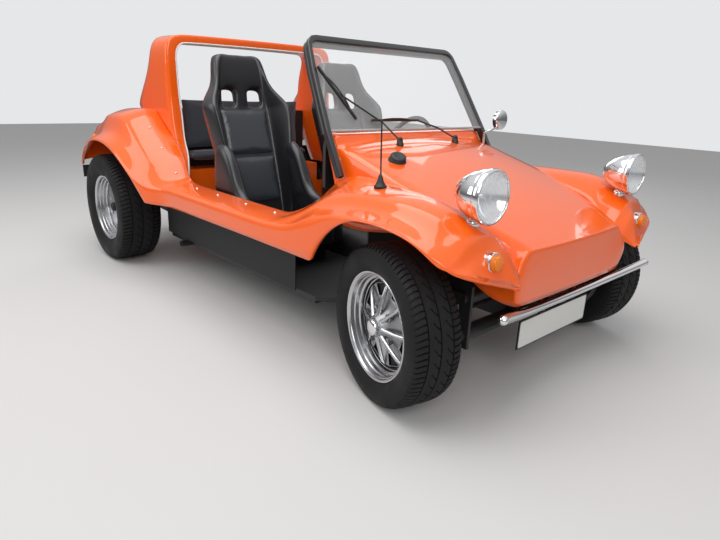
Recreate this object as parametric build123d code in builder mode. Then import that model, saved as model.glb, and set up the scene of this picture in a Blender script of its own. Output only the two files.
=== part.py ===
"""Open two-plus-two dune buggy: a moulded body on a backbone floor pan, rear engine.

Millimetres.  +X is forward, +Y is the car's left, +Z is up.  The origin is on the ground
under the middle of the car.  Stations along the car are measured from the line where the
steered front wheels stand, forward positive, and station(x) turns one into a frame position.
"""
from build123d import *
from math import atan, cos, radians, sin
import os

os.makedirs("parts", exist_ok=True)

# Overall size
wheelbase = 2400.0
front_overhang = 424.0
rear_overhang = 600.0
overall_length = wheelbase + front_overhang + rear_overhang
front_line_x = overall_length / 2 - front_overhang

# Front wheels and steering
front_tyre_r = 305.0
front_tyre_w = 195.0
front_track_half = 668.0
kingpin_x = 30.0
kingpin_y = 590.0
steer_rest = -13.5
steer_arm = 108.0

# Rear wheels
rear_tyre_r = 340.0
rear_tyre_w = 255.0
rear_track_half = 770.0

# Rims
rim_lip_r = 207.5
rim_seat_r = 190.0
rim_wall = 4.0
hub_bore_r = 21.0
spindle_r = 20.95

# Body shell
shell = 6.0
body_half = 800.0
sill_width = 160.0
cockpit_half = body_half - sill_width
sill_bottom_z = 483.0
sill_top_z = 590.0
sill_crease_z = 567.0
cockpit_front = -620.0
cockpit_rear = -1640.0
front_arch_x = 25.0
front_arch_z = 325.0
front_arch_r = 382.0
front_arch_depth = 400.0
rear_arch_x = -2350.0
rear_arch_z = 105.0
rear_arch_r = 665.0
rear_arch_depth = 620.0

# Windscreen
glass_foot_x = -549.0
glass_foot_z = 951.0
glass_top_x = -773.0
glass_top_z = 1332.0
glass_foot_half = 531.0
glass_top_half = 482.0
glass_t = 5.0
frame_side = 22.0
frame_top = 34.0
frame_sill = 8.0
frame_grow = 15.0
frame_depth = 52.0

# Roll hoop
hoop_x = -1955.0
hoop_half = 600.0
hoop_top_z = 1395.0
hoop_corner_r = 100.0
hoop_inner_half = 540.0
hoop_inner_top_z = 1349.0
hoop_inner_corner_r = 70.0
hoop_base_z = 600.3

# Seats
seat_y = 365.0
seat_x = -1418.0
seat_base_z = 320.0

# Front axle
beam_x = 165.0
beam_z = (255.0, 405.0)
beam_half = 455.0

# Floor pan
pan_front = -330.0
pan_corner_x = -520.0
pan_front_half = 430.0
pan_z = 215.0
pan_t = 20.0
pan_half = cockpit_half - 25
rail_drop = 12.0
rail_w = 60.0
tunnel_half = 90.0
tunnel_h = 170.0
jack_x = -1740.0
jack_z = pan_z
jack_r = 14.0
jack_reach = 75.0


def station(x):
    return front_line_x + x


def half_section(points, x):
    """A closed outline across the car, drawn for one side and mirrored to the other."""
    full = [(y, z) for y, z in points] + [(-y, z) for y, z in reversed(points) if y > 0]
    with BuildSketch(Plane.YZ.offset(station(x))) as outline:
        Polygon(*full, align=None)
    return outline.sketch


def side_section(points, x, side):
    """A closed outline on one side of the car."""
    pts = [(side * y, z) for y, z in points]
    with BuildSketch(Plane.YZ.offset(station(x))) as outline:
        Polygon(*pts, align=None)
    return outline.sketch


def save(builder, name):
    builder.part.label = name
    export_step(builder.part, f"parts/{name}.step")


def rod(start, end, radius, mode=Mode.ADD):
    """A round bar between two points, added to the part that is being built."""
    axis = Vector(*end) - Vector(*start)
    with BuildSketch(Plane(origin=start, z_dir=axis)) as face:
        Circle(radius)
    extrude(face.sketch, amount=axis.length, mode=mode)


def polygon_on(plane, points):
    """A closed outline on any plane."""
    with BuildSketch(plane) as face:
        Polygon(*points, align=None)
    return face.sketch


def at(x, y, z):
    return (station(x), y, z)


column_y = 350.0
column_r = 20.0
column_low = at(-140, column_y, 560)
column_high = at(-860, column_y, 800)

# Fittings that stand in holes of the front body. Columns: buried end, free end, radius
seat_gap = 0.3
lamp_x = 307.0
lamp_y = 542.0
lamp_z = 809.0
stalk_x = 247.0
signal_y = 560.0
signal_z = 606.0
signal_x = 350.0
wiper_x = -453.0
wiper_y = 196.0
cap_x = -316.0
cap_y = -350.0
cap_low = (cap_x - 10, cap_y + 4, 826)
cap_high = (cap_x + 12, cap_y - 5, 868)
cap_r = 30.0
antenna_x = -144.0
antenna_y = -610.0
mirror_x = -480.0
mirror_y = 470.0
stalk_r = 15.0
bezel_r = 36.0
pivot_r = 12.0
aerial_r = 14.0
mirror_r = 6.0
body_holes = [(at(*cap_low), at(*[2 * b - a for a, b in zip(cap_low, cap_high)]), cap_r),
              (at(antenna_x, antenna_y, 760), at(antenna_x, antenna_y, 900), aerial_r),
              (at(mirror_x, mirror_y, 860), at(mirror_x, mirror_y, 940), mirror_r)]
for side in (1, -1):
    body_holes += [
        (at(stalk_x, side * lamp_y, 690), at(stalk_x, side * lamp_y, 900), stalk_r),
        (at(signal_x - 60, side * signal_y, signal_z), at(500, side * signal_y, signal_z), bezel_r),
        (at(wiper_x, side * wiper_y, 870), at(wiper_x, side * wiper_y, 940), pivot_r)]

# Front body: nose and hood in the middle, one fender each side, in one moulding.
# Columns: station, centre z, (mid y, z), (ridge y, z), (foot y, z), (bottom y, z)
nose_stations = (
    (-620, 943, (300, 943), (500, 941), (514, 700), (514, 560)),
    (-549, 943, (300, 943), (500, 941), (514, 740), (514, 560)),
    (-522, 915, (300, 909), (500, 892), (514, 750), (514, 560)),
    (-450, 898, (300, 890), (500, 868), (514, 775), (514, 560)),
    (-330, 866, (300, 860), (498, 832), (512, 798), (510, 560)),
    (-150, 806, (280, 800), (497, 782), (505, 775), (500, 590)),
    (30, 740, (260, 735), (440, 728), (485, 735), (480, 560)),
    (160, 687, (250, 684), (410, 690), (470, 700), (465, 500)),
    (260, 643, (240, 640), (380, 652), (440, 640), (430, 430)),
    (348, 600, (175, 604), (350, 610), (352, 560), (345, 400)),
)
# Columns: station, (valley y, z), (shoulder y, z), (crest y, z), (crease inset, z),
# (flare inset, z), (lip inset, z), base z, where inset counts inwards from the side of the sill
fender_stations = (
    (-620, (520, 640), (560, 622), (640, 600), (60, 594), (20, 584), (0, 572), sill_bottom_z),
    (-480, (520, 760), (560, 728), (640, 676), (55, 630), (15, 610), (0, 592), sill_bottom_z),
    (-330, (500, 800), (545, 792), (620, 765), (75, 712), (30, 680), (0, 645), sill_bottom_z),
    (-150, (480, 782), (530, 786), (615, 784), (95, 750), (45, 722), (0, 694), sill_bottom_z),
    (30, (465, 740), (525, 772), (605, 787), (100, 752), (48, 728), (0, 706), sill_bottom_z),
    (160, (455, 708), (505, 738), (600, 770), (104, 735), (52, 710), (8, 684), 500),
    (260, (425, 620), (500, 694), (598, 730), (115, 700), (65, 672), (25, 640), 560),
    (300, (385, 585), (500, 682), (568, 676), (150, 636), (97, 626), (50, 614), 596),
    (320, (365, 560), (500, 671), (552, 652), (152, 614), (110, 608), (67, 602), 588),
    (345, (345, 530), (500, 650), (555, 602), (160, 590), (125, 589), (98, 588), 572),
    (375, (455, 545), (497, 600), (535, 566), (220, 558), (200, 559), (183, 562), 546),
    (front_overhang, (485, 518), (495, 530), (505, 531), (288, 530), (284, 527), (280, 521), 515),
)
valley_lap = 20.0
open_below = 60.0


def fender_outline(row, wall):
    x, valley, shoulder, crest, *outer, base = row
    crease, flare, lip = [(body_half - inset, z) for inset, z in outer]
    if wall:
        skin = [(valley[0] - valley_lap, valley[1] - wall), (shoulder[0], shoulder[1] - wall),
                (crest[0], crest[1] - wall), (crease[0] - wall * 0.4, crease[1] - wall),
                (flare[0] - wall * 0.6, flare[1] - wall), (lip[0] - wall, lip[1] - wall)]
        below = base - open_below
        return skin + [(lip[0] - wall, below), (valley[0] - valley_lap, below)]
    return [valley, shoulder, crest, crease, flare, lip, (lip[0], base), (valley[0], valley[1] - shell)]


def nose_outline(row, wall):
    x, centre, mid, ridge, foot, bottom = row
    drop = open_below if wall else 0
    return [(0, centre - wall), (mid[0], mid[1] - wall), (ridge[0] - wall, ridge[1] - wall),
            (foot[0] - wall, foot[1] - wall), (bottom[0] - wall, bottom[1] - drop),
            (0, bottom[1] - drop)]


# The side of the cowl ends in a raked edge behind the leg of the screen
cowl_half = 495.0
cowl_cut_depth = 60.0
cowl_cut = ((-700, 960), (-640, 955), (-505, 705), (-505, 500), (-700, 500))

front_fenders = {}
for side in (1, -1):
    with BuildPart() as fender:
        loft([side_section(fender_outline(r, 0), r[0], side) for r in fender_stations], ruled=True)
        rows = [(cockpit_front - 1, *fender_stations[0][1:])] + list(fender_stations[1:-2])
        tip = fender_stations[-2]
        rows.append((tip[0] - shell, *tip[1:]))
        loft([side_section(fender_outline(r, shell), r[0], side) for r in rows], ruled=True,
             mode=Mode.SUBTRACT)
        with BuildSketch(Plane.XZ.offset(-side * front_arch_depth)):
            with Locations((station(front_arch_x), front_arch_z)):
                Circle(front_arch_r)
        extrude(amount=-side * body_half, mode=Mode.SUBTRACT)
    front_fenders[side] = fender.part

with BuildPart() as body_front:
    loft([half_section(nose_outline(r, 0), r[0]) for r in nose_stations], ruled=True)
    inner = [(cockpit_front - 1, *nose_stations[0][1:])] + list(nose_stations[1:-1])
    last = nose_stations[-1]
    inner.append((last[0] - shell, *last[1:]))
    loft([half_section(nose_outline(r, shell), r[0]) for r in inner], ruled=True,
         mode=Mode.SUBTRACT)
    for side in (1, -1):
        with BuildSketch(Plane.XZ.offset(-side * cowl_half)):
            Polygon(*[(station(x), z) for x, z in cowl_cut], align=None)
        extrude(amount=-side * cowl_cut_depth, mode=Mode.SUBTRACT)
    add(front_fenders[1])
    add(front_fenders[-1])
    for start, end, radius in body_holes:
        rod(start, end, radius + seat_gap, mode=Mode.SUBTRACT)
save(body_front, "body_front")


# Body sides: a sill each side with its own inner wall, open underneath.
with BuildPart() as body_sides:
    for side in (1, -1):
        outer = [(cockpit_half, sill_bottom_z), (cockpit_half, sill_top_z),
                 (body_half, sill_crease_z), (body_half, sill_bottom_z)]
        inner = [(cockpit_half + shell, sill_bottom_z - 10), (cockpit_half + shell, sill_top_z - shell),
                 (body_half - shell, sill_crease_z - shell), (body_half - shell, sill_bottom_z - 10)]
        length = cockpit_front - cockpit_rear
        extrude(side_section(outer, cockpit_rear, side), amount=length)
        extrude(side_section(inner, cockpit_rear, side), amount=length, mode=Mode.SUBTRACT)
save(body_sides, "body_sides")

tail_z = 560.0

# Rear body: fenders that rise from the sills to the hoop, and the deck between them.
# Columns: station, (inner y, z), (bead y, z), (crest out, z), (flare out, z), (lip out, z), base z,
# where out counts outwards from the side of the sill
column_face = hoop_half + seat_gap
rear_stations = (
    (cockpit_rear, (cockpit_half, 596), (690, 592), (-60, 582), (-15, 574), (0, sill_crease_z),
     sill_bottom_z),
    (-1740, (622, 690), (695, 676), (-45, 650), (20, 590), (40, 562), 475),
    (-1870, (column_face, 772), (692, 766), (-30, 745), (50, 650), (78, 592), 472),
    (-2040, (column_face, 878), (690, 884), (-25, 866), (62, 745), (100, 702), 472),
    (-2180, (column_face, 965), (690, 966), (-25, 948), (58, 806), (104, 758), 472),
    (-2300, (column_face, 962), (685, 962), (-28, 944), (55, 816), (106, 776), 472),
    (-2400, (column_face, 956), (680, 956), (-32, 938), (52, 812), (106, 774), 472),
    (-2480, (column_face, 950), (670, 950), (-40, 925), (45, 797), (105, 764), 472),
    (-2570, (column_face, 905), (665, 902), (-50, 888), (40, 768), (101, 740), 472),
    (-2680, (column_face, 885), (660, 882), (-55, 866), (32, 728), (92, 680), tail_z - 20),
    (-2780, (column_face, 866), (655, 862), (-62, 842), (20, 690), (78, 622), tail_z),
    (-2860, (column_face, 845), (650, 838), (-70, 812), (5, 668), (60, 590), tail_z),
)
deck_front = -2180.0
deck_rear = -2860.0
apron_z = 720.0


def rear_outline(row, wall):
    x, foot, bead, *outer, base = row
    crest, flare, lip = [(body_half + out, z) for out, z in outer]
    points = [foot, bead, crest, flare, lip]
    if wall:
        points = [(foot[0] + wall, foot[1] - wall), (bead[0], bead[1] - wall),
                  (crest[0] - wall * 0.5, crest[1] - wall), (flare[0] - wall, flare[1] - wall * 0.5),
                  (lip[0] - wall, lip[1])]
        return points + [(lip[0] - wall, base - open_below), (foot[0] + wall, base - open_below)]
    return points + [(lip[0], base), (foot[0], base)]


with BuildPart() as body_rear:
    for side in (1, -1):
        loft([side_section(rear_outline(r, 0), r[0], side) for r in rear_stations], ruled=True)
        rows = [(rear_stations[0][0] + 1, *rear_stations[0][1:])] + list(rear_stations[1:-1])
        rows.append((rear_stations[-1][0] + shell, *rear_stations[-1][1:]))
        loft([side_section(rear_outline(r, shell), r[0], side) for r in rows], ruled=True,
             mode=Mode.SUBTRACT)
        with BuildSketch(Plane.XZ.offset(-side * rear_arch_depth)):
            with Locations((station(rear_arch_x), rear_arch_z)):
                Circle(rear_arch_r)
        extrude(amount=-side * body_half, mode=Mode.SUBTRACT)
    deck = [(station(deck_front), 965), (station(-2480), 950), (station(-2570), 905),
            (station(deck_rear), 845), (station(deck_rear), apron_z),
            (station(deck_rear + shell), apron_z), (station(deck_rear + shell), 838),
            (station(-2570), 899), (station(-2480), 943), (station(deck_front), 959)]
    with BuildSketch(Plane.XZ):
        Polygon(*deck, align=None)
    extrude(amount=column_face + 1, both=True)
save(body_rear, "body_rear")

# Roll hoop: a moulded arch across the car, with sides that sweep back on to the deck.
deck_z = 965.0
leg_rear = deck_front + 10
fin_rear = -2457.0
fin_rear_z = 951.2
hoop_side = ((hoop_x, hoop_top_z), (hoop_x, 1050), (-1915, 800), (-1770, 610), (-1770, hoop_base_z),
             (leg_rear, hoop_base_z), (leg_rear, deck_z + seat_gap), (deck_front, deck_z + seat_gap),
             (fin_rear, fin_rear_z + seat_gap), (-2248, 1181), (-2190, 1300), (-2150, hoop_top_z))
# Columns: half width of the opening, height
hoop_opening = ((590, hoop_base_z), (545, 720), (530, 930), (hoop_inner_half, 1200),
                (hoop_inner_half, hoop_inner_top_z))
with BuildPart() as roll_hoop:
    with BuildSketch(Plane.YZ.offset(station(fin_rear - 1))):
        with BuildLine():
            FilletPolyline((-hoop_half, hoop_base_z), (-hoop_half, hoop_top_z),
                           (hoop_half, hoop_top_z), (hoop_half, hoop_base_z), radius=hoop_corner_r)
            Line((hoop_half, hoop_base_z), (-hoop_half, hoop_base_z))
        make_face()
        with BuildLine():
            FilletPolyline(*[(-y, z) for y, z in hoop_opening], *reversed(hoop_opening),
                           radius=hoop_inner_corner_r)
            Line(hoop_opening[0], (-hoop_opening[0][0], hoop_base_z))
        make_face(mode=Mode.SUBTRACT)
    extrude(amount=hoop_side[3][0] + 1 - fin_rear)
    with BuildSketch(Plane.XZ):
        Polygon(*[(station(x), z) for x, z in hoop_side], align=None)
    extrude(amount=hoop_half + 1, both=True, mode=Mode.INTERSECT)
save(roll_hoop, "roll_hoop")

# Tub: the moulded inner skin of the cockpit, with the footwell wall and the rear step.
tub_floor = pan_z + pan_t + seat_gap
tub_wall = 6.0
tub_out = cockpit_half - 0.5
step_x = -1990.0
step_z = 600.0
shelf_rear = -2170.0
shelf_half = 525.0
foot_x = -330.0
with BuildPart() as inner_tub:
    for side in (1, -1):
        with BuildSketch(Plane.XZ.offset(-side * tub_out)):
            Polygon((station(-640), tub_floor), (station(-640), 588), (station(cockpit_rear), 588),
                    (station(cockpit_rear), 469), (station(step_x), 469), (station(step_x), tub_floor),
                    align=None)
        extrude(amount=side * tub_wall)
    with BuildSketch(Plane.XZ):
        Polygon((station(step_x), step_z),
                (station(shelf_rear), step_z), (station(shelf_rear), 960),
                (station(shelf_rear) - tub_wall, 960), (station(shelf_rear) - tub_wall, step_z - tub_wall),
                (station(step_x) - tub_wall, step_z - tub_wall), (station(step_x) - tub_wall, 460),
                (station(step_x), 460), align=None)
    extrude(amount=shelf_half, both=True)
    with BuildSketch(Plane.XZ):
        Polygon((station(step_x) - tub_wall, tub_floor), (station(step_x), tub_floor),
                (station(step_x), 469), (station(step_x) - tub_wall, 469), align=None)
    extrude(amount=tub_out, both=True)
    with BuildSketch(Plane.YZ.offset(station(step_x) - tub_wall - 1)):
        with Locations((0, pan_z)):
            Rectangle(2 * (tunnel_half + seat_gap), tunnel_h + seat_gap, align=(Align.CENTER, Align.MIN))
    extrude(amount=tub_wall + 2, mode=Mode.SUBTRACT)
save(inner_tub, "inner_tub")

# Footwell wall between the fuel tank space and the cockpit, and the fuel tank behind the nose.
with BuildPart() as bulkhead:
    with BuildSketch(Plane.YZ.offset(station(foot_x))):
        Polygon((-pan_front_half, tub_floor), (-130, tub_floor), (-130, 392), (130, 392),
                (130, tub_floor), (pan_front_half, tub_floor), (490, 480), (490, 780), (-490, 780),
                (-490, 480), align=None)
    extrude(amount=shell)
    rod(column_low, column_high, column_r + seat_gap, mode=Mode.SUBTRACT)
save(bulkhead, "bulkhead")

# Floor pan with its tunnel, the side rails under the sills and the frame head.
torsion_x = -wheelbase + 350
torsion_r = 45.0
pan_rear = torsion_x + torsion_r + seat_gap
with BuildPart() as floor_pan:
    with BuildSketch(Plane.XY.offset(pan_z)):
        Polygon((station(pan_rear), pan_half), (station(pan_corner_x), pan_half),
                (station(pan_front), pan_front_half), (station(pan_front), -pan_front_half),
                (station(pan_corner_x), -pan_half), (station(pan_rear), -pan_half), align=None)
    extrude(amount=pan_t)
    for side in (1, -1):
        with BuildSketch(Plane.XY.offset(pan_z)):
            with Locations((station((pan_corner_x + pan_rear) / 2), side * (pan_half - rail_w / 2))):
                Rectangle(pan_corner_x - pan_rear, rail_w)
        extrude(amount=-rail_drop)
        socket = side * (pan_half - 10)
        rod(at(jack_x, socket, jack_z), at(jack_x, socket + side * jack_reach, jack_z), jack_r + 5)
        rod(at(jack_x, socket + side * 15, jack_z), at(jack_x, socket + side * (jack_reach + 1), jack_z),
            jack_r, mode=Mode.SUBTRACT)
    with BuildSketch(Plane.YZ.offset(station(pan_rear))):
        with BuildLine():
            Line((-tunnel_half, pan_z), (tunnel_half, pan_z))
            Line((tunnel_half, pan_z), (tunnel_half, pan_z + tunnel_h - tunnel_half))
            ThreePointArc((tunnel_half, pan_z + tunnel_h - tunnel_half), (0, pan_z + tunnel_h),
                          (-tunnel_half, pan_z + tunnel_h - tunnel_half))
            Line((-tunnel_half, pan_z + tunnel_h - tunnel_half), (-tunnel_half, pan_z))
        make_face()
    extrude(amount=pan_front - pan_rear - 10)
    with BuildSketch(Plane.XY.offset(pan_z + pan_t)):
        with Locations(*[(station(seat_x) + 230, y + step) for y in (seat_y, -seat_y)
                         for step in (150, -150)]):
            Rectangle(440, 30)
    extrude(amount=seat_base_z - pan_z - pan_t - seat_gap)
    with BuildSketch(Plane.YZ.offset(station(pan_front))):
        with Locations((0, 262)):
            Rectangle(220, 74)
    extrude(amount=beam_x - 30 - seat_gap - pan_front)
save(floor_pan, "floor_pan")


# Windscreen: a raked tube frame with legs that run on down the body side, and flat glass.
rake = atan((glass_foot_x - glass_top_x) / (glass_top_z - glass_foot_z))
glass_rise = (glass_top_z - glass_foot_z) / cos(rake)
leg_drop = 204.0
leg_w = 28.0
leg_out = 556.0
leg_depth = 40.0
screen_front = 10.0
screen_corner = 60.0
screen_plane = Plane(origin=at(glass_foot_x, 0, glass_foot_z), x_dir=(0, 1, 0),
                     z_dir=(cos(rake), 0, sin(rake)))


def screen_outline(plane, side_in, top_in, foot_in, corner):
    """The outline of the frame brought in at its sides, top and foot, on a raked plane."""
    foot_half = glass_foot_half + frame_grow - side_in
    top_half = glass_top_half + frame_grow - side_in
    top = glass_rise + frame_grow - top_in
    with BuildSketch(plane) as outline:
        with BuildLine():
            FilletPolyline((-foot_half, foot_in), (-top_half, top), (top_half, top), (foot_half, foot_in),
                           radius=corner)
            Line((foot_half, foot_in), (-foot_half, foot_in))
        make_face()
    return outline.sketch


rabbet = 6.0
with BuildPart() as windscreen_frame:
    extrude(screen_outline(screen_plane.offset(screen_front), 0, 0, 0, screen_corner), amount=-frame_depth)
    extrude(screen_outline(screen_plane.offset(screen_front + 1), frame_side, frame_top, frame_sill, 42),
            amount=-frame_depth - 2, mode=Mode.SUBTRACT)
    extrude(screen_outline(screen_plane, frame_side - rabbet, frame_top - rabbet, frame_sill - rabbet, 46),
            amount=glass_t / 2 + seat_gap, both=True, mode=Mode.SUBTRACT)
    with BuildSketch(screen_plane.offset(-frame_grow)):
        Rectangle(2 * glass_foot_half - 8, 2 * frame_sill)
    extrude(amount=-frame_depth, mode=Mode.SUBTRACT)
    for side in (1, -1):
        edge = glass_foot_half + frame_grow
        leg = polygon_on(screen_plane.offset(screen_front),
                         [(side * edge, 0), (side * leg_out, -leg_drop),
                          (side * (leg_out - leg_w), -leg_drop), (side * (edge - frame_side), 0)])
        extrude(leg, amount=-leg_depth)
save(windscreen_frame, "windscreen_frame")

with BuildPart() as windscreen_glass:
    inside = rabbet - seat_gap
    extrude(screen_outline(screen_plane, frame_side - inside, frame_top - inside, frame_sill - inside, 46.3),
            amount=glass_t / 2, both=True)
save(windscreen_glass, "windscreen_glass")

# Dashboard across the cowl, and the round instruments in it.
dash_x = cockpit_front - 19 - seat_gap
with BuildPart() as dashboard:
    with BuildSketch(Plane.XZ):
        Polygon((station(dash_x), 700), (station(dash_x), 880), (station(dash_x + 14), 925),
                (station(dash_x + 19), 925), (station(dash_x + 19), 700), align=None)
    extrude(amount=490, both=True)
    rod(column_low, column_high, column_r + seat_gap, mode=Mode.SUBTRACT)
save(dashboard, "dashboard")

# Front seats: one-piece high-back buckets. Columns: height above the seat base, half width
seat_back_rake = radians(14)
backrest_outline = ((0, 215), (150, 235), (300, 250), (480, 262), (640, 270), (690, 255), (760, 175),
                    (800, 150), (900, 138), (938, 120))
back_t = 110.0
slot_y = 83.0
slot_h = 705.0
slot_size = (78.0, 100.0)
cushion_front = 500.0
cushion_half = 205.0
bolster_y = 225.0
bolster_t = 25.0
# Side outlines of the cushion and of a bolster: distance ahead of the backrest's foot, height
cushion_side = ((-20, 0), (cushion_front, 0), (cushion_front + 20, 150), (90, 120), (-20, 200))
bolster_side = ((-20, 0), (490, 0), (470, 220), (200, 250), (-20, 420))
for name, side in (("seat_right", -1), ("seat_left", 1)):
    with BuildPart() as seat:
        hip = at(seat_x, side * seat_y, seat_base_z + 40)
        back_plane = Plane(origin=hip, x_dir=(0, 1, 0),
                           z_dir=(cos(seat_back_rake), 0, sin(seat_back_rake)))
        pts = [(w, h) for h, w in backrest_outline] + [(-w, h) for h, w in reversed(backrest_outline)]
        extrude(polygon_on(back_plane, pts), amount=back_t)
        with BuildSketch(back_plane):
            with Locations((slot_y, slot_h), (-slot_y, slot_h)):
                Rectangle(*slot_size)
        extrude(amount=back_t, mode=Mode.SUBTRACT)
        with BuildSketch(Plane.XZ.offset(-side * seat_y)):
            Polygon(*[(station(seat_x) + x, seat_base_z + z) for x, z in cushion_side], align=None)
        extrude(amount=cushion_half, both=True)
        for edge in (1, -1):
            with BuildSketch(Plane.XZ.offset(-(side * seat_y + edge * bolster_y))):
                Polygon(*[(station(seat_x) + x, seat_base_z + z) for x, z in bolster_side], align=None)
            extrude(amount=bolster_t, both=True)
    save(seat, name)

# Rear bench: a thin cushion on the step and an upright back.
bench_half = 455.0
with BuildPart() as rear_seat_cushion:
    with BuildSketch(Plane.XY.offset(step_z + 0.3)):
        with Locations((station(-2080), 0)):
            Rectangle(150, 2 * bench_half)
    extrude(amount=110)
save(rear_seat_cushion, "rear_seat_cushion")
with BuildPart() as rear_seat_back:
    with BuildSketch(Plane.YZ.offset(station(shelf_rear) + 0.3)):
        with Locations((0, step_z + 112)):
            Rectangle(2 * bench_half, 330, align=(Align.CENTER, Align.MIN))
    extrude(amount=60)
save(rear_seat_back, "rear_seat_back")

# Front axle: two cross tubes with end plates, trailing arms and dampers.
beam_r = 30.0
axle_plate_t = 14.0
axle_plate_back = 32.0
axle_plate_front = 35.0
tower_z = 475.0
tower_back = 100.0
frame_bracket_y = 120.0
with BuildPart() as front_axle:
    for z in beam_z:
        rod(at(beam_x, -beam_half, z), at(beam_x, beam_half, z), beam_r)
    back = station(beam_x) - axle_plate_back
    notch = station(beam_x) - axle_plate_back / 2
    front = station(beam_x) + axle_plate_front
    for side in (1, -1):
        with BuildSketch(Plane.XZ.offset(-side * (beam_half - axle_plate_t))):
            Polygon((back, beam_z[0] - 50), (front, beam_z[0] - 50), (front, beam_z[1] + 50),
                    (station(beam_x) - beam_r, tower_z + 20), (station(beam_x) - tower_back, tower_z + 20),
                    (station(beam_x) - tower_back, tower_z - 15), (back, beam_z[1] - 20),
                    (notch, beam_z[1] - beam_r - 2), (notch, beam_z[0] + beam_r + 5),
                    (back, beam_z[0] + beam_r - 2), align=None)
        extrude(amount=-side * axle_plate_t)
        with BuildSketch(Plane.XZ.offset(-side * frame_bracket_y)):
            with Locations((station(beam_x) + axle_plate_front - 20, sum(beam_z) / 2)):
                Rectangle(40, 190)
        extrude(amount=-side * 12)
save(front_axle, "front_axle")

arm_t = 20.0
arm_eye = 24.0
arm_tip = 16.0
arm_end = kingpin_x - 12
arm_pin_r = 12.0
pin_inner = kingpin_y - 20.5
damper_y = beam_half - axle_plate_t - 30
damper_foot_x = beam_x - 90
damper_head_x = beam_x - 70
damper_r = 22.0
with BuildPart() as front_suspension:
    for side in (1, -1):
        for z in beam_z:
            eye_top = (station(beam_x), z + arm_eye)
            eye_foot = (station(beam_x), z - arm_eye)
            with BuildSketch(Plane.XZ.offset(-side * (beam_half + seat_gap))):
                with BuildLine():
                    Line(eye_top, (station(arm_end), z + arm_tip))
                    Line((station(arm_end), z + arm_tip), (station(arm_end), z - arm_tip))
                    Line((station(arm_end), z - arm_tip), eye_foot)
                    ThreePointArc(eye_foot, (station(beam_x) + arm_eye, z), eye_top)
                make_face()
            extrude(amount=-side * arm_t)
            pin_outer = side * (beam_half + arm_t - 5)
            rod(at(kingpin_x, pin_outer, z), at(kingpin_x, side * pin_inner, z), arm_pin_r)
        foot_y = side * damper_y
        rod(at(damper_foot_x, side * (beam_half + arm_t / 2), beam_z[0]),
            at(damper_foot_x, foot_y, beam_z[0]), 9)
        rod(at(damper_foot_x, foot_y, beam_z[0] - 14), at(damper_head_x, foot_y, tower_z + 12), damper_r)
        rod(at(damper_head_x, foot_y, tower_z),
            at(damper_head_x, side * (beam_half - axle_plate_t - seat_gap), tower_z), 8)
save(front_suspension, "front_suspension")

# Knuckles and front wheels, drawn on planes that are turned with the steering at rest.
steer = radians(steer_rest)
tie_z = front_tyre_r + 45
heading = Vector(cos(steer), sin(steer), 0)
knuckle_reach = front_track_half - kingpin_y


def hub_point(side, out, ahead, z):
    """A point from the kingpin: outwards along the spindle and ahead across it, as steered."""
    across = Vector(-sin(steer), cos(steer), 0) * side
    return Vector(station(kingpin_x), side * kingpin_y, z) + across * out + heading * ahead


for name, side in (("left", 1), ("right", -1)):
    outward = Vector(-sin(steer), cos(steer), 0) * side
    with BuildPart() as knuckle:
        rod(hub_point(side, 0, 0, 215), hub_point(side, 0, 0, 445), 15)
        rod(hub_point(side, -14, 0, front_tyre_r), hub_point(side, 28, 0, front_tyre_r), 30)
        rod(hub_point(side, 20, 0, front_tyre_r), hub_point(side, knuckle_reach + 42, 0, front_tyre_r),
            spindle_r)
        rod(hub_point(side, 22, 0, front_tyre_r), hub_point(side, 28, 0, front_tyre_r), 118)
        rod(hub_point(side, 0, 0, tie_z), hub_point(side, 0, steer_arm + 10, tie_z), 10)
        for z in beam_z:
            rod(hub_point(side, 0, 0, z - 22), hub_point(side, 0, 0, z + 22), 20)
    save(knuckle, f"knuckle_{name}")

# Tyre section: the tread is flat across, the walls bulge out past the rim
def tyre_profile(plane, width, radius, bead):
    half = width / 2
    wall = radius - bead
    lip_in = flange_out(width) - lip_t - seat_gap
    right = [(half * 0.80, radius - 3), (half * 0.93, radius - 16), (half, bead + wall * 0.55),
             (half * 0.98, bead + wall * 0.35), (lip_in + 9, rim_lip_r + 2 * seat_gap),
             (lip_in, rim_lip_r + seat_gap), (lip_in, bead)]
    with BuildSketch(plane) as face:
        Polygon(*[(-d, r) for d, r in reversed(right)], (0, radius), *right, align=None)
    return face.sketch


lip_t = 8.0
lip_beyond_seat = 14.0
hub_len = 34.0


def flange_out(width):
    """How far the outer edge of the rim lies from the middle plane of the tyre."""
    return width / 2 * 0.72 + lip_beyond_seat


def rim_profile(plane, width, disc, hub):
    """The barrel with its stepped outer well, and the disc with its raised hub."""
    out = flange_out(width)
    seat = out - lip_t
    floor = disc[0][1] + 3
    outside = [(-out, rim_lip_r), (-seat, rim_lip_r), (-seat, rim_seat_r), (-seat + 31, rim_seat_r - 2),
               (-seat + 51, floor + rim_wall), (disc[-1][0] - 18, floor + rim_wall),
               (seat - 34, rim_seat_r - 2), (seat, rim_seat_r), (seat, rim_lip_r), (out, rim_lip_r)]
    steps = [(out, rim_lip_r - 6), (out - 5, rim_seat_r - 2), (out - 18, rim_seat_r - rim_wall),
             (out - 20, rim_seat_r - 10), (out - 34, rim_seat_r - 12), (out - 36, rim_seat_r - 18),
             (disc[0][0] + 4, floor - 1)]
    hub_back = disc[-1][0] - hub_len
    back = [(hub_back, hub_bore_r), (hub_back, 60), (disc[0][0] - 12, 112),
            (disc[0][0] - 10, floor - 3), (-seat + 48, floor), (-seat + 28, rim_seat_r - rim_wall - 2),
            (-out, rim_seat_r - rim_wall)]
    front = list(disc) + [(hub[0], hub[1]), (hub[0], hub_bore_r)]
    return polygon_on(plane, outside + steps + front + back)


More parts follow.
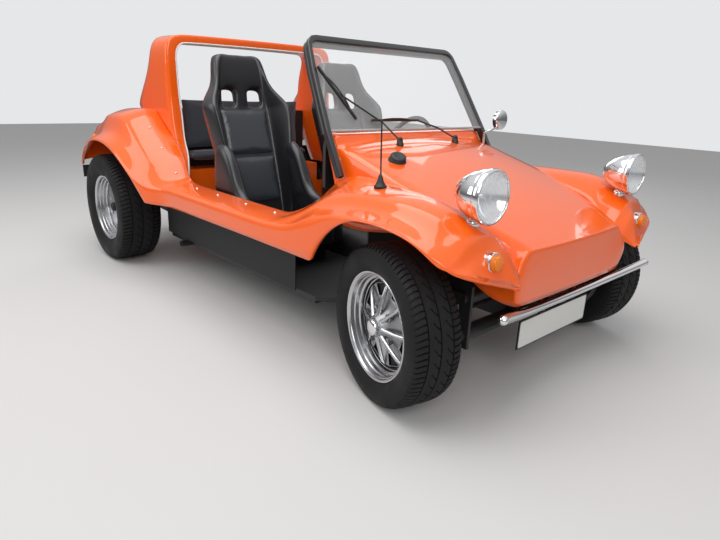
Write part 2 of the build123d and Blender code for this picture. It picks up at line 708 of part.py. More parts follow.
# Discs. Columns: distance out from the tyre's middle plane, radius. The last row is the foot of the hub
front_disc = ((24, 162), (30, 120), (52, 52))
front_hub = (64, 40)
rear_disc = ((38, 162), (40, 90), (44, 62))
rear_hub = (52, 50)
spoke_count = 8
spoke_r = 8.5
window = (27.0, 31.0)
window_r = 133.0


def on_wheel(centre, outward, out, radius, angle):
    """A point of a wheel: out along its axle, and at a radius and an angle round it."""
    up = Vector(0, 0, 1)
    across = up.cross(outward)
    return centre + outward * out + (across * cos(angle) + up * sin(angle)) * radius


def spoked_disc(centre, outward):
    """Adds eight raised spokes to a rim and cuts a window between each two."""
    foot, edge = (front_hub[0] - 6, front_hub[1] - 8), (front_disc[0][0] + 3, front_disc[0][1] - 6)
    for k in range(spoke_count):
        turn = radians(360 / spoke_count * k)
        rod(on_wheel(centre, outward, *foot, turn), on_wheel(centre, outward, *edge, turn), spoke_r)
        middle = turn + radians(180 / spoke_count)
        spot = on_wheel(centre, outward, 0, window_r, middle)
        with BuildSketch(Plane(origin=spot, x_dir=spot - centre, z_dir=outward)) as hole:
            Rectangle(*window)
        extrude(hole.sketch, amount=60, mode=Mode.SUBTRACT)


for name, side, rear in (("front_left", 1, False), ("front_right", -1, False),
                         ("rear_left", 1, True), ("rear_right", -1, True)):
    if rear:
        centre = Vector(station(-wheelbase), side * rear_track_half, rear_tyre_r)
        outward = Vector(0, side, 0)
        width, radius, disc, hub = rear_tyre_w, rear_tyre_r, rear_disc, rear_hub
    else:
        centre = hub_point(side, knuckle_reach, 0, front_tyre_r)
        outward = Vector(-sin(steer), cos(steer), 0) * side
        width, radius, disc, hub = front_tyre_w, front_tyre_r, front_disc, front_hub
    section = Plane(origin=centre, x_dir=outward, z_dir=Vector(0, 0, 1).cross(outward) * -1)
    spin = Axis(centre, outward)
    with BuildPart() as tyre:
        revolve(tyre_profile(section, width, radius, rim_seat_r + 0.4), axis=spin)
    save(tyre, f"tyre_{name}")
    with BuildPart() as rim:
        revolve(rim_profile(section, width, disc, hub), axis=spin)
        if not rear:
            spoked_disc(centre, outward)
    save(rim, f"rim_{name}")

# Steering: a fixed column with its box on the front axle, the wheel on its shaft, the tie rods.
column_dir = (Vector(*column_high) - Vector(*column_low)).normalized()
wheel_centre = Vector(*column_high) + column_dir * 60
with BuildPart() as steering_column:
    rod(column_low, column_high, column_r)
save(steering_column, "steering_column")
section_plane = Plane(origin=wheel_centre, x_dir=(0, 1, 0),
                      z_dir=Vector(0, 1, 0).cross(column_dir))
with BuildPart() as steering_wheel:
    with BuildSketch(section_plane):
        with Locations((175, 0)):
            Circle(13)
    revolve(axis=Axis(wheel_centre, column_dir))
    rod(Vector(*column_high) + column_dir * 0.3, wheel_centre + column_dir * 8, 24)
    for turn in (90, 210, 330):
        tip = Vector(0, 1, 0) * cos(radians(turn)) + column_dir.cross(Vector(0, 1, 0)) * sin(radians(turn))
        rod(wheel_centre, wheel_centre + tip * 172, 9)
save(steering_wheel, "steering_wheel")

tie_gap = 0.5
tie_x = beam_x - 56
with BuildPart() as tie_rods:
    for side in (1, -1):
        eye = hub_point(side, 0, steer_arm, tie_z - 10 - tie_gap)
        rod(eye - Vector(0, 0, 22), eye, 11)
        rod(eye - Vector(0, 0, 12), Vector(station(tie_x), side * 40, tie_z - 23), 8)
    with BuildSketch(Plane.XY.offset(tie_z - 33)):
        with Locations((station(tie_x), 0)):
            Rectangle(22, 110)
    extrude(amount=20)
save(tie_rods, "tie_rods")

# Gearbox under the rear seat, with the torsion tube in front of it.
rear_axle_x = -wheelbase
torsion_z = 330.0
with BuildPart() as gearbox:
    rod(at(pan_rear - seat_gap, 0, rear_tyre_r), at(rear_axle_x - 90, 0, rear_tyre_r), 85)
    rod(at(rear_axle_x, -110, rear_tyre_r), at(rear_axle_x, 110, rear_tyre_r), 105)
    rod(at(rear_axle_x - 90, 0, rear_tyre_r + 10), at(rear_axle_x - 140, 0, rear_tyre_r + 10), 165)
save(gearbox, "gearbox")

# Rear suspension: torsion tube, trailing arms, half-axle tubes, drum backing plates, dampers.
rear_arm_y = 500.0
horn_y = 440.0
shock_y = 470.0
shock_foot_x = rear_axle_x + 90
shock_head_x = rear_axle_x + 125
shock_head_z = 620.0
with BuildPart() as rear_suspension:
    for side in (1, -1):
        rod(at(torsion_x, side * (85 + seat_gap), torsion_z), at(torsion_x, side * rear_arm_y, torsion_z),
            torsion_r)
        rod(at(rear_axle_x, side * (110 + seat_gap), rear_tyre_r), at(rear_axle_x, side * 610, rear_tyre_r),
            32)
        rod(at(rear_axle_x, side * 596, rear_tyre_r), at(rear_axle_x, side * 610, rear_tyre_r), 125)
        rod(at(rear_axle_x, side * 605, rear_tyre_r),
            at(rear_axle_x, side * (rear_track_half + 35), rear_tyre_r), spindle_r)
        with BuildSketch(Plane.XZ.offset(-side * rear_arm_y)):
            Polygon((station(torsion_x) + 50, torsion_z - 50), (station(torsion_x) + 50, torsion_z + 50),
                    (station(rear_axle_x) - 40, rear_tyre_r + 45), (station(rear_axle_x) - 40,
                    rear_tyre_r - 45), align=None)
        extrude(amount=-side * 10)
        with BuildSketch(Plane.XZ.offset(-side * horn_y)):
            Polygon((station(torsion_x) + 20, torsion_z), (station(torsion_x) - 30, torsion_z - 20),
                    (station(shock_head_x) - 25, shock_head_z), (station(shock_head_x), shock_head_z + 25),
                    (station(shock_head_x) + 35, shock_head_z + 10), align=None)
        extrude(amount=side * 10)
        foot_z = rear_tyre_r - 20
        rod(at(shock_foot_x, side * rear_arm_y, foot_z), at(shock_foot_x, side * shock_y, foot_z), 9)
        rod(at(shock_foot_x, side * shock_y, rear_tyre_r - 32),
            at(shock_head_x, side * shock_y, shock_head_z + 12), 24)
        rod(at(shock_head_x, side * shock_y, shock_head_z), at(shock_head_x, side * (horn_y - 4),
                                                              shock_head_z), 8)
save(rear_suspension, "rear_suspension")

# Engine: an air-cooled flat four behind the axle. It stands open to view at the tail: crankcase,
# finned cylinder banks with their rocker covers, and the crank pulley.
engine_front = rear_axle_x - 140 - seat_gap
crank_z = 372.0
block_top = 431.7
bank_in = 130.0
bank_out = 370.0
bank_h = 140.0
fin_depth = 14.0
fin_pitch = 18.0
fin_count = 8
with BuildPart() as engine:
    with BuildSketch(Plane.XY.offset(crank_z - 140)):
        with Locations((station(engine_front) - 165, 0)):
            Rectangle(330, 2 * bank_in)
    extrude(amount=block_top - crank_z + 140)
    for side in (1, -1):
        with BuildSketch(Plane.XZ.offset(-side * bank_in)):
            with Locations((station(engine_front) - 165, block_top - bank_h / 2)):
                Rectangle(310, bank_h)
        extrude(amount=-side * (bank_out - bank_in))
        for k in range(fin_count):
            with BuildSketch(Plane.XZ.offset(-side * (bank_in + 12 + fin_pitch * k))):
                with Locations((station(engine_front) - 165, block_top - bank_h / 2)):
                    Rectangle(330, bank_h + 20)
                    Rectangle(310 - 2 * fin_depth, bank_h, mode=Mode.SUBTRACT)
                with Locations((station(engine_front) - 165, block_top)):
                    Rectangle(330, 60, mode=Mode.SUBTRACT)
            extrude(amount=-side * fin_pitch / 2, mode=Mode.SUBTRACT)
        with BuildSketch(Plane.XZ.offset(-side * (bank_out - 40))):
            with Locations((station(engine_front) - 165, block_top - bank_h - 10)):
                Rectangle(340, 60)
        extrude(amount=-side * 30, mode=Mode.SUBTRACT)
    rod(at(engine_front - 330, 0, crank_z), at(engine_front - 372, 0, crank_z), 70)
save(engine, "engine")

fan_x = engine_front - 60
with BuildPart() as fan_shroud:
    with BuildSketch(Plane.YZ.offset(station(fan_x))):
        with BuildLine():
            Polyline((-180, 640), (-300, 432), (300, 432), (180, 640))
            ThreePointArc((180, 640), (0, 760), (-180, 640))
        make_face()
    extrude(amount=-130)
    rod(at(fan_x - 130, 0, 640), at(fan_x - 360, 0, 640), 52)
    rod(at(fan_x - 360, 0, 640), at(fan_x - 385, 0, 640), 80)
    with BuildSketch(Plane.XY.offset(block_top + seat_gap)):
        with Locations((station(fan_x) - 210, 0)):
            Rectangle(100, 60)
    extrude(amount=170)
save(fan_shroud, "fan_shroud")

muffler_x = -wheelbase - 530
muffler_z = 245.0
with BuildPart() as exhaust:
    rod(at(muffler_x, -330, muffler_z), at(muffler_x, 330, muffler_z), 50)
    for side in (1, -1):
        rod(at(muffler_x, side * 120, muffler_z), at(-wheelbase - rear_overhang, side * 120, muffler_z - 12),
            18)
        rod(at(muffler_x, side * 280, muffler_z), at(muffler_x + 150, side * 280, muffler_z - 30), 20)
        rod(at(muffler_x + 150, side * 280, muffler_z - 50),
            at(muffler_x + 150, side * 280, block_top - 140 - seat_gap), 20)
save(exhaust, "exhaust")

# Front bumper: a bent chrome tube on two brackets, with the plate in front of the nose.
bumper_r = 17.0
bow_points = ((front_overhang - bumper_r, 560, 423), (345, 300, 372), (318, 0, 350))
stay_y = 126.0
stay_r = 12.0
bow_side = [Vector(*at(*point)) for point in bow_points]
bow_line = Spline(*bow_side, *[Vector(p.X, -p.Y, p.Z) for p in reversed(bow_side[:-1])])
bow_stays = [bow_line @ (0.5 - side * stay_y / bow_line.length) for side in (1, -1)]
with BuildPart() as front_bumper:
    with BuildSketch(Plane(origin=bow_line @ 0, z_dir=bow_line % 0)) as tube:
        Circle(bumper_r)
    sweep(tube.sketch, path=bow_line)
    for stay in bow_stays:
        rod(Vector(station(beam_x + axle_plate_front + seat_gap), stay.Y, stay.Z), stay, stay_r)
save(front_bumper, "front_bumper")

plate_w = 520.0
plate_h = 110.0
plate_x = 300.0
plate_z = 245.0
with BuildPart() as number_plates:
    with BuildSketch(Plane.YZ.offset(station(plate_x))):
        with Locations((0, plate_z)):
            Rectangle(plate_w + 10, plate_h + 10)
    extrude(amount=-6)
    for stay in bow_stays:
        low = Vector(station(plate_x - 9), stay.Y, plate_z + plate_h / 2 - 5)
        reach = stay - low
        rod(low, low + reach.normalized() * (reach.length - bumper_r - 2 * seat_gap), 5)
    with BuildSketch(Plane.YZ.offset(station(deck_rear) - seat_gap)):
        with Locations((0, 780)):
            Rectangle(plate_w + 10, plate_h + 10)
    extrude(amount=-6)
save(number_plates, "number_plates")

# Headlamps: chrome bowls on ball stalks, with their lenses in front.
lamp_r = 93.0
lamp_depth = 150.0
lamp_ring = 24.0
bowl_r = 88.0
with BuildPart() as headlamp_bowls:
    for side in (1, -1):
        front = at(lamp_x, side * lamp_y, lamp_z)
        with BuildSketch(Plane(origin=front, x_dir=(1, 0, 0), z_dir=(0, -1, 0))):
            with BuildLine():
                Line((0, 0), (0, lamp_r))
                Line((0, lamp_r), (-lamp_ring, lamp_r))
                Line((-lamp_ring, lamp_r), (-lamp_ring, bowl_r))
                ThreePointArc((-lamp_ring, bowl_r), (-105, 60), (-lamp_depth, 0))
                Line((-lamp_depth, 0), (0, 0))
            make_face()
        revolve(axis=Axis(front, (1, 0, 0)))
        rod(at(stalk_x, side * lamp_y, 700), at(stalk_x, side * lamp_y, lamp_z - 40), stalk_r)
save(headlamp_bowls, "headlamp_bowls")
with BuildPart() as headlamp_lenses:
    for side in (1, -1):
        front = at(lamp_x + 0.2, side * lamp_y, lamp_z)
        with BuildSketch(Plane(origin=front, x_dir=(1, 0, 0), z_dir=(0, -1, 0))):
            with BuildLine():
                Line((0, 0), (0, lamp_r - 8))
                Line((0, lamp_r - 8), (12, lamp_r / 2))
                Line((12, lamp_r / 2), (16, 0))
                Line((16, 0), (0, 0))
            make_face()
        revolve(axis=Axis(front, (1, 0, 0)))
save(headlamp_lenses, "headlamp_lenses")

with BuildPart() as signal_lamps:
    for side in (1, -1):
        rod(at(signal_x - 48, side * signal_y, signal_z), at(signal_x, side * signal_y, signal_z), bezel_r)
        rod(at(signal_x, side * signal_y, signal_z), at(signal_x + 26, side * signal_y, signal_z), 30)
save(signal_lamps, "signal_lamps")
with BuildPart() as tail_lamps:
    for side in (1, -1):
        rod(at(deck_rear - 0.3, side * 660, 750), at(deck_rear - 30, side * 660, 750), 45)
save(tail_lamps, "tail_lamps")

# Door mirror on the driver's side, aerial, fuel cap, wipers, mud flaps.
with BuildPart() as mirror:
    rod(at(mirror_x, mirror_y, 862), at(mirror_x, mirror_y, 935), mirror_r)
    rod(at(mirror_x, mirror_y, 930), at(-512, 650, 960), mirror_r)
    rod(at(-522, 650, 994), at(-505, 650, 994), 52)
save(mirror, "mirror")
with BuildPart() as antenna:
    rod(at(antenna_x, antenna_y, 765), at(antenna_x, antenna_y, 803), aerial_r)
    rod(at(antenna_x, antenna_y, 803), at(antenna_x - 6, antenna_y - 2, 1020), 3)
save(antenna, "antenna")
with BuildPart() as fuel_cap:
    rod(at(*cap_low), at(*cap_high), cap_r)
save(fuel_cap, "fuel_cap")
# Wipers as they stand in the photo. Columns: blade ends and arm points, (x, y, z) each
wiper_sets = (
    ((-680, -492, 1214), (-556, -369, 1002), ((-545, -219, 984), (-618, -430, 1108))),
    ((-553, -281, 997), (-552, 23, 995), ((-530, 149, 958), (-555, 6, 997))),
)
with BuildPart() as wipers:
    for blade_a, blade_b, arm in wiper_sets:
        pivot_y = wiper_y if arm[0][1] > 0 else -wiper_y
        rod(at(wiper_x, pivot_y, 880), at(wiper_x, pivot_y, 920), pivot_r)
        rod(at(wiper_x, pivot_y, 912), at(*arm[0]), 4)
        rod(at(*arm[0]), at(*arm[1]), 4)
        rod(at(*blade_a), at(*blade_b), 5)
save(wipers, "wipers")
flap_x = -2850.0
flap_out = 22.0
with BuildPart() as mud_flaps:
    for side in (1, -1):
        with BuildSketch(Plane.YZ.offset(station(flap_x))):
            with Locations((side * (body_half + flap_out), tail_z - seat_gap)):
                Rectangle(76, 80, align=(Align.CENTER, Align.MAX))
        extrude(amount=8)
save(mud_flaps, "mud_flaps")
lever_z = pan_z + tunnel_h + seat_gap
with BuildPart() as levers:
    rod(at(-1000, 0, lever_z), at(-1000, 0, lever_z + 30), 28)
    rod(at(-1000, 0, lever_z + 25), at(-1030, 0, 640), 7)
    rod(at(-1030, 0, 635), at(-1030, 0, 676), 20)
    rod(at(-1250, 0, lever_z), at(-1250, 0, lever_z + 22), 20)
    rod(at(-1250, 0, lever_z + 16), at(-1130, 0, 500), 9)
save(levers, "levers")
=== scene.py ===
from math import atan2, cos, pi, radians, sin

import bmesh
import bpy
from mathutils import Matrix, Vector


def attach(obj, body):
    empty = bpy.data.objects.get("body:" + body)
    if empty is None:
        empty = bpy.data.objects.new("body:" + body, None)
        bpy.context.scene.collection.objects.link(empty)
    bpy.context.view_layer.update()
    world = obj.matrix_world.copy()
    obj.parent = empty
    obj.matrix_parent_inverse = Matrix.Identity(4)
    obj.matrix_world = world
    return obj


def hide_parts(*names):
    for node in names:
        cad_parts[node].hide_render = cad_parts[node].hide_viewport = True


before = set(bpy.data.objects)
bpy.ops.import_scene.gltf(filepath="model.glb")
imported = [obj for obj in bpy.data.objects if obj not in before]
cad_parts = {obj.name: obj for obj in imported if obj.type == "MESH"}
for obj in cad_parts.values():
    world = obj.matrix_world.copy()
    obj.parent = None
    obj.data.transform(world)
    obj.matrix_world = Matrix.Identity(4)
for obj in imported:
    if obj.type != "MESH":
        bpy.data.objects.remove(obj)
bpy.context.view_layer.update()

# Camera, floor and lamps
# The photograph is taken from beside the right front wheel, at chest height, with a wide lens.
# The floor is plain and pale, and the lamps are large soft boxes.
eye = (2.6117, -2.0478, 1.1206)
yaw, pitch, roll = radians(137.36), radians(17.89), radians(2.19)
camera = bpy.data.objects.new("camera", bpy.data.cameras.new("camera"))
camera.data.sensor_width = 36.0
camera.data.lens = 27.78
camera.data.clip_start = 0.05
camera.matrix_world = (Matrix.Translation(eye) @ Matrix.Rotation(yaw - pi / 2, 4, "Z")
                       @ Matrix.Rotation(pi / 2 - pitch, 4, "X") @ Matrix.Rotation(roll, 4, "Z"))
scene = bpy.context.scene
scene.collection.objects.link(camera)
scene.camera = camera
scene.view_settings.view_transform = "Standard"


def new_material(name):
    """A new material, with its nodes and links."""
    material = bpy.data.materials.new(name)
    material.use_nodes = True
    return material, material.node_tree.nodes, material.node_tree.links


def plain_surface(name, colour, roughness, metallic=0.0, coat=0.0, sockets=()):
    """A plain material of one colour, with any further sockets as (name, value)."""
    material, nodes, links = new_material(name)
    for socket, value in (("Base Color", (*colour, 1)), ("Roughness", roughness), ("Metallic", metallic),
                          ("Coat Weight", coat), *sockets):
        nodes["Principled BSDF"].inputs[socket].default_value = value
    return material


def as_object(name, mesh, material, sharp=None):
    """The object of a finished mesh, smooth up to an angle in degrees if one is given."""
    data = bpy.data.meshes.new(name)
    mesh.to_mesh(data)
    mesh.free()
    data.materials.append(material)
    if sharp:
        data.shade_smooth()
        data.set_sharp_from_angle(angle=radians(sharp))
    obj = bpy.data.objects.new(name, data)
    scene.collection.objects.link(obj)
    return obj


floor_mesh = bmesh.new()
bmesh.ops.create_grid(floor_mesh, x_segments=1, y_segments=1, size=14)
floor = as_object("floor", floor_mesh, plain_surface("pale_floor", (0.62, 0.61, 0.60), 0.9))

world = bpy.data.worlds.new("studio")
scene.world = world
world.use_nodes = True
nodes, links = world.node_tree.nodes, world.node_tree.links
sky = nodes["Background"]
sky.inputs["Color"].default_value = (0.93, 0.94, 0.96, 1)
path = nodes.new("ShaderNodeLightPath")
heading = nodes.new("ShaderNodeTexCoord")
split = nodes.new("ShaderNodeSeparateXYZ")
rise = nodes.new("ShaderNodeMapRange")
rise.inputs["From Min"].default_value = 0.02
rise.inputs["From Max"].default_value = 0.60
rise.inputs["To Min"].default_value = 0.16
rise.inputs["To Max"].default_value = 0.85
links.new(heading.outputs["Generated"], split.inputs["Vector"])
links.new(split.outputs["Z"], rise.inputs["Value"])
glow = nodes.new("ShaderNodeMix")
glow.inputs["A"].default_value = 0.48
show = nodes.new("ShaderNodeMix")
show.inputs["B"].default_value = 0.85
links.new(path.outputs["Is Glossy Ray"], glow.inputs["Factor"])
links.new(rise.outputs["Result"], glow.inputs["B"])
links.new(path.outputs["Is Camera Ray"], show.inputs["Factor"])
links.new(glow.outputs["Result"], show.inputs["A"])
links.new(show.outputs["Result"], sky.inputs["Strength"])

# Columns: name, place, size, power
soft_boxes = (
    ("lamp_above", (0.3, -1.2, 4.2), 4.0, 135),
    ("lamp_front", (4.5, -3.2, 3.0), 2.6, 85),
    ("lamp_side", (-2.4, -4.6, 2.6), 2.6, 45),
    ("lamp_back", (-3.5, 4.0, 3.2), 3.0, 45),
)
for name, place, size, power in soft_boxes:
    lamp = bpy.data.lights.new(name, "AREA")
    lamp.energy, lamp.size = power, size
    box = bpy.data.objects.new(name, lamp)
    aim = Vector((0.0, 0.0, 0.5)) - Vector(place)
    box.matrix_world = Matrix.Translation(place) @ aim.to_track_quat("-Z", "Y").to_matrix().to_4x4()
    scene.collection.objects.link(box)

# Front wings, sills and rear wings
# One moulded glass-fibre skin a side, from the tip of the front wing to the tail, in gloss orange.
# Its sections run across the car, the hem follows the round wheel arches, and soft creases set off
# the flares.
orange = (0.90, 0.118, 0.004)
line_x = 1.288
skin, merge_reach = 0.006, 0.0008


def at(x, y, z):
    """A point from millimetres measured from the front wheel line."""
    return Vector((line_x + x / 1000, y / 1000, z / 1000))


def surface(mesh, rows, creases=None, cross_creases=None):
    """A sheet through rows of points, as a grid with a crease along each named column or row."""
    wide, tall = len(rows) - 1, len(rows[0]) - 1
    grid = bmesh.ops.create_grid(mesh, x_segments=wide, y_segments=tall, size=1)["verts"]
    column, line = {}, {}
    for vert in grid:
        i, j = round((vert.co.x + 1) / 2 * wide), round((vert.co.y + 1) / 2 * tall)
        column[vert], line[vert] = j, i
        vert.co = rows[i][j]
    layer = mesh.edges.layers.float.get("crease_edge") or mesh.edges.layers.float.new("crease_edge")
    for vert in grid:
        for edge in vert.link_edges:
            other = edge.other_vert(vert)
            if column.get(other) == column[vert] and column[vert] in (creases or {}):
                edge[layer] = creases[column[vert]]
            if line.get(other) == line[vert] and line[vert] in (cross_creases or {}):
                edge[layer] = max(edge[layer], cross_creases[line[vert]])
    return grid


def slope_at(xs, values, k):
    """The slope of a curve at one of its points, level where the curve turns."""
    if k in (0, len(xs) - 1):
        return 0.0
    before = (values[k] - values[k - 1]) / (xs[k] - xs[k - 1])
    after = (values[k + 1] - values[k]) / (xs[k + 1] - xs[k])
    return 0.0 if before * after <= 0 else 2 * before * after / (before + after)


def smooth_value(xs, values, x):
    """The value at x on a smooth curve through the points, which never overshoots them."""
    k = max(i for i in range(len(xs) - 1) if xs[i] >= x or i == 0)
    span = xs[k + 1] - xs[k]
    t = min(max((x - xs[k]) / span, 0.0), 1.0)
    low, high = slope_at(xs, values, k) * span, slope_at(xs, values, k + 1) * span
    return ((2 * t ** 3 - 3 * t ** 2 + 1) * values[k] + (t ** 3 - 2 * t ** 2 + t) * low
            + (3 * t ** 2 - 2 * t ** 3) * values[k + 1] + (t ** 3 - t ** 2) * high)


def section_at(table, x):
    """The points (y, z) of a table of sections at any station."""
    xs = [row[0] for row in table]
    return [tuple(smooth_value(xs, [row[1][k][axis] for row in table], x) for axis in (0, 1))
            for k in range(len(table[0][1]))]


def clean_mesh(mesh, reach=0.00005):
    """Merges doubled points, then turns every face outwards."""
    bmesh.ops.remove_doubles(mesh, verts=mesh.verts[:], dist=reach)
    bmesh.ops.recalc_face_normals(mesh, faces=mesh.faces[:])


def baked(obj):
    """The mesh of an object with its modifiers applied."""
    return bpy.data.meshes.new_from_object(obj.evaluated_get(bpy.context.evaluated_depsgraph_get()))


def finish_skin(mesh, name, material, levels=2, thickness=skin, dents=()):
    """The object of a smooth shell: merged, subdivided, dented, then given its thickness."""
    clean_mesh(mesh, merge_reach)
    obj = as_object(name, mesh, material)
    obj.data.shade_smooth()
    if levels:
        subdivision = obj.modifiers.new("smooth", "SUBSURF")
        subdivision.levels = subdivision.render_levels = levels
    if dents:
        obj.data = baked(obj)
        obj.modifiers.clear()
        for vert in obj.data.vertices:
            for centre, across, along, depth in dents:
                away = vert.co - centre
                share = (away.x * across + away.y * along).length_squared
                if share < 1 and abs(away.z) < 0.1:
                    vert.co.z -= depth * (1 - share) ** 1.5
    if thickness:
        wall = obj.modifiers.new("wall", "SOLIDIFY")
        wall.thickness = thickness
        wall.offset = -1.0
        wall.use_even_offset = True
    return obj


# Columns: station; inner edge, shoulder, crest, crease, flare root and lip (y, z); height of the hem
side_sections = (
    (396, ((450, 508), (455, 513), (460, 515), (466, 515), (471, 513), (476, 509)), 503),
    (380, ((438, 516), (468, 547), (490, 540), (516, 535), (530, 534), (542, 532)), 524),
    (362, ((418, 530), (479, 593), (526, 567), (574, 557), (596, 556), (614, 557)), 544),
    (340, ((385, 540), (492, 650), (550, 610), (640, 594), (675, 590), (705, 588)), 574),
    (318, ((378, 560), (498, 668), (552, 656), (640, 628), (684, 602), (735, 596)), 588),
    (304, ((390, 585), (500, 684), (568, 688), (650, 666), (692, 630), (750, 612)), 600),
    (260, ((425, 620), (500, 694), (598, 720), (676, 700), (708, 664), (777, 642)), 600),
    (160, ((455, 706), (505, 736), (600, 770), (690, 744), (720, 706), (795, 684)), 500),
    (30, ((465, 738), (525, 770), (605, 789), (694, 760), (724, 722), (803, 702)), 483),
    (-150, ((480, 780), (530, 785), (615, 786), (697, 758), (728, 718), (803, 692)), 483),
    (-330, ((500, 798), (545, 791), (620, 766), (712, 722), (744, 684), (801, 650)), 483),
    (-480, ((520, 758), (560, 727), (640, 677), (734, 640), (764, 612), (801, 592)), 483),
    (-600, ((520, 660), (560, 640), (640, 606), (742, 597), (781, 587), (801, 573)), 483),
    (-645, ((640, 594), (655, 598), (700, 596), (742, 591), (781, 582), (801, 570)), 483),
    (-900, ((640, 590), (652, 594), (700, 592), (742, 587), (781, 579), (801, 567)), 482),
    (-1560, ((640, 590), (652, 594), (700, 590), (742, 585), (781, 577), (801, 567)), 474),
    (-1640, ((640, 600), (655, 604), (700, 597), (744, 589), (784, 577), (805, 567)), 470),
    (-1740, ((622, 692), (650, 693), (700, 677), (758, 650), (808, 600), (841, 562)), 468),
    (-1870, ((600, 774), (640, 776), (705, 767), (792, 734), (832, 664), (880, 595)), 468),
    (-2040, ((600, 880), (640, 889), (705, 883), (800, 852), (842, 756), (902, 706)), 468),
    (-2180, ((600, 967), (640, 972), (705, 967), (802, 934), (842, 816), (906, 762)), 468),
    (-2300, ((600, 964), (640, 968), (705, 964), (801, 931), (841, 822), (908, 778)), 468),
    (-2400, ((600, 958), (640, 963), (700, 958), (797, 923), (838, 818), (908, 778)), 468),
    (-2480, ((600, 950), (640, 954), (695, 950), (790, 908), (832, 806), (907, 768)), 468),
    (-2570, ((600, 905), (640, 907), (690, 903), (782, 870), (826, 778), (903, 742)), 500),
    (-2680, ((600, 885), (640, 886), (685, 881), (775, 845), (818, 738), (894, 684)), 540),
    (-2780, ((600, 866), (640, 866), (680, 860), (766, 818), (808, 700), (880, 626)), 560),
    (-2856, ((600, 846), (640, 844), (676, 836), (754, 786), (796, 676), (862, 592)), 560),
)
# Wheel arches in the hem: station of the middle, height and radius
front_arch, rear_arch = (25, 325, 382), (-2350, 105, 665)
# The inner edge of the front wings is buried in the side of the bonnet: station, distance inwards
tuck_in = ((340, 0), (318, 10), (290, 28), (200, 34), (120, 28), (-100, 24), (-330, 18), (-420, 0))
side_stations = [396, 388, 380, 371, 362, 350, 340, 328, 318, 304, 285, 262, 236, 205, 165, 120, 70, 20,
                 -30, -80, -130, -175, -215, -250, -280, -302, -316, -326, -345, -390, -440, -480, -530,
                 -600, -645, -720, -900, -1200, -1450, -1560, -1640, -1690, -1740, -1776, -1792, -1804,
                 -1820, -1842, -1870, -1905, -1950, -2000, -2060, -2120, -2180, -2250, -2320, -2390,
                 -2440, -2480, -2520, -2570, -2625, -2680, -2730, -2780, -2820, -2856]
side_creases = {0: 0.3, 1: 0.25, 3: 0.8, 4: 0.35, 5: 0.75, 6: 0.8}
facet_station, facet_crease = 304, 0.75


def hem_height(x, lowest):
    """The height of the lower edge of the skin, over the wheel arches."""
    for centre, height, radius in (front_arch, rear_arch):
        if abs(x - centre) < radius:
            lowest = max(lowest, height + (radius ** 2 - (x - centre) ** 2) ** 0.5)
    return lowest


def side_rows(side):
    """The rows of points of one side of the body, from the front tip to the tail."""
    rows = []
    hems = [row[2] for row in side_sections]
    for x in side_stations:
        points = section_at(side_sections, x)
        lip_y, lip_z = points[-1]
        hem = min(hem_height(x, smooth_value([row[0] for row in side_sections], hems, x)), lip_z - 5)
        tuck = smooth_value([row[0] for row in tuck_in], [row[1] for row in tuck_in], x)
        points[0] = (points[0][0] - tuck, points[0][1] - tuck * 0.6)
        rows.append([at(x, side * y, z) for y, z in points]
                    + [at(x, side * (lip_y - 1), hem), at(x, side * (lip_y - 16), hem + 3)])
    return rows


def relief(material, kind, scale, strength, depth, socket="Normal", bands=None):
    """Fine relief on a material, from a texture over the object's own coordinates."""
    nodes, links = material.node_tree.nodes, material.node_tree.links
    place = nodes.new("ShaderNodeTexCoord")
    texture = nodes.new("ShaderNodeTex" + kind)
    texture.inputs["Scale"].default_value = scale
    if bands:
        texture.bands_direction = bands
    bump = nodes.new("ShaderNodeBump")
    bump.inputs["Strength"].default_value = strength
    bump.inputs["Distance"].default_value = depth
    links.new(place.outputs["Object"], texture.inputs["Vector"])
    links.new(texture.outputs["Distance" if kind == "Voronoi" else "Fac"], bump.inputs["Height"])
    links.new(bump.outputs["Normal"], nodes["Principled BSDF"].inputs[socket])


# Gloss paint over gel coat, under a clear coat with a faint orange peel
orange_gloss = plain_surface("orange_gloss", orange, 0.32, coat=1.0, sockets=(
    ("Specular IOR Level", 0.2), ("Coat Roughness", 0.05)))
relief(orange_gloss, "Noise", 60, 0.05, 0.001, "Coat Normal")
sides = bmesh.new()
for side in (1, -1):
    surface(sides, side_rows(side), side_creases, {side_stations.index(facet_station): facet_crease})
# Rear deck between the wings, with the tail that drops behind the engine
deck_stations = [x for x in side_stations if x <= -2180]
deck_share = (-1, -0.66, -0.33, 0, 0.33, 0.66, 1)
deck_rows = []
for x in deck_stations:
    inner_y, inner_z = section_at(side_sections, x)[0]
    deck_rows.append([at(x, inner_y * share, inner_z + 6 * (1 - share ** 2)) for share in deck_share])
surface(sides, deck_rows)
# A shallow oval hollow in each front wing, behind the headlamp: its centre, the two axes of the oval,
# each one over its half length in metres, and its depth
hollow_place, hollow_depth = (245, 655, 700), 0.014
hollows = [(at(hollow_place[0], side * hollow_place[1], hollow_place[2]), Vector((22.0, side * 8.0, 0)),
            Vector((-side * 4.0, 14.0, 0)), hollow_depth) for side in (1, -1)]
body_shell = finish_skin(sides, "body_skin", orange_gloss, dents=hollows)
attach(body_shell, "root")
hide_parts("body_sides", "body_rear")

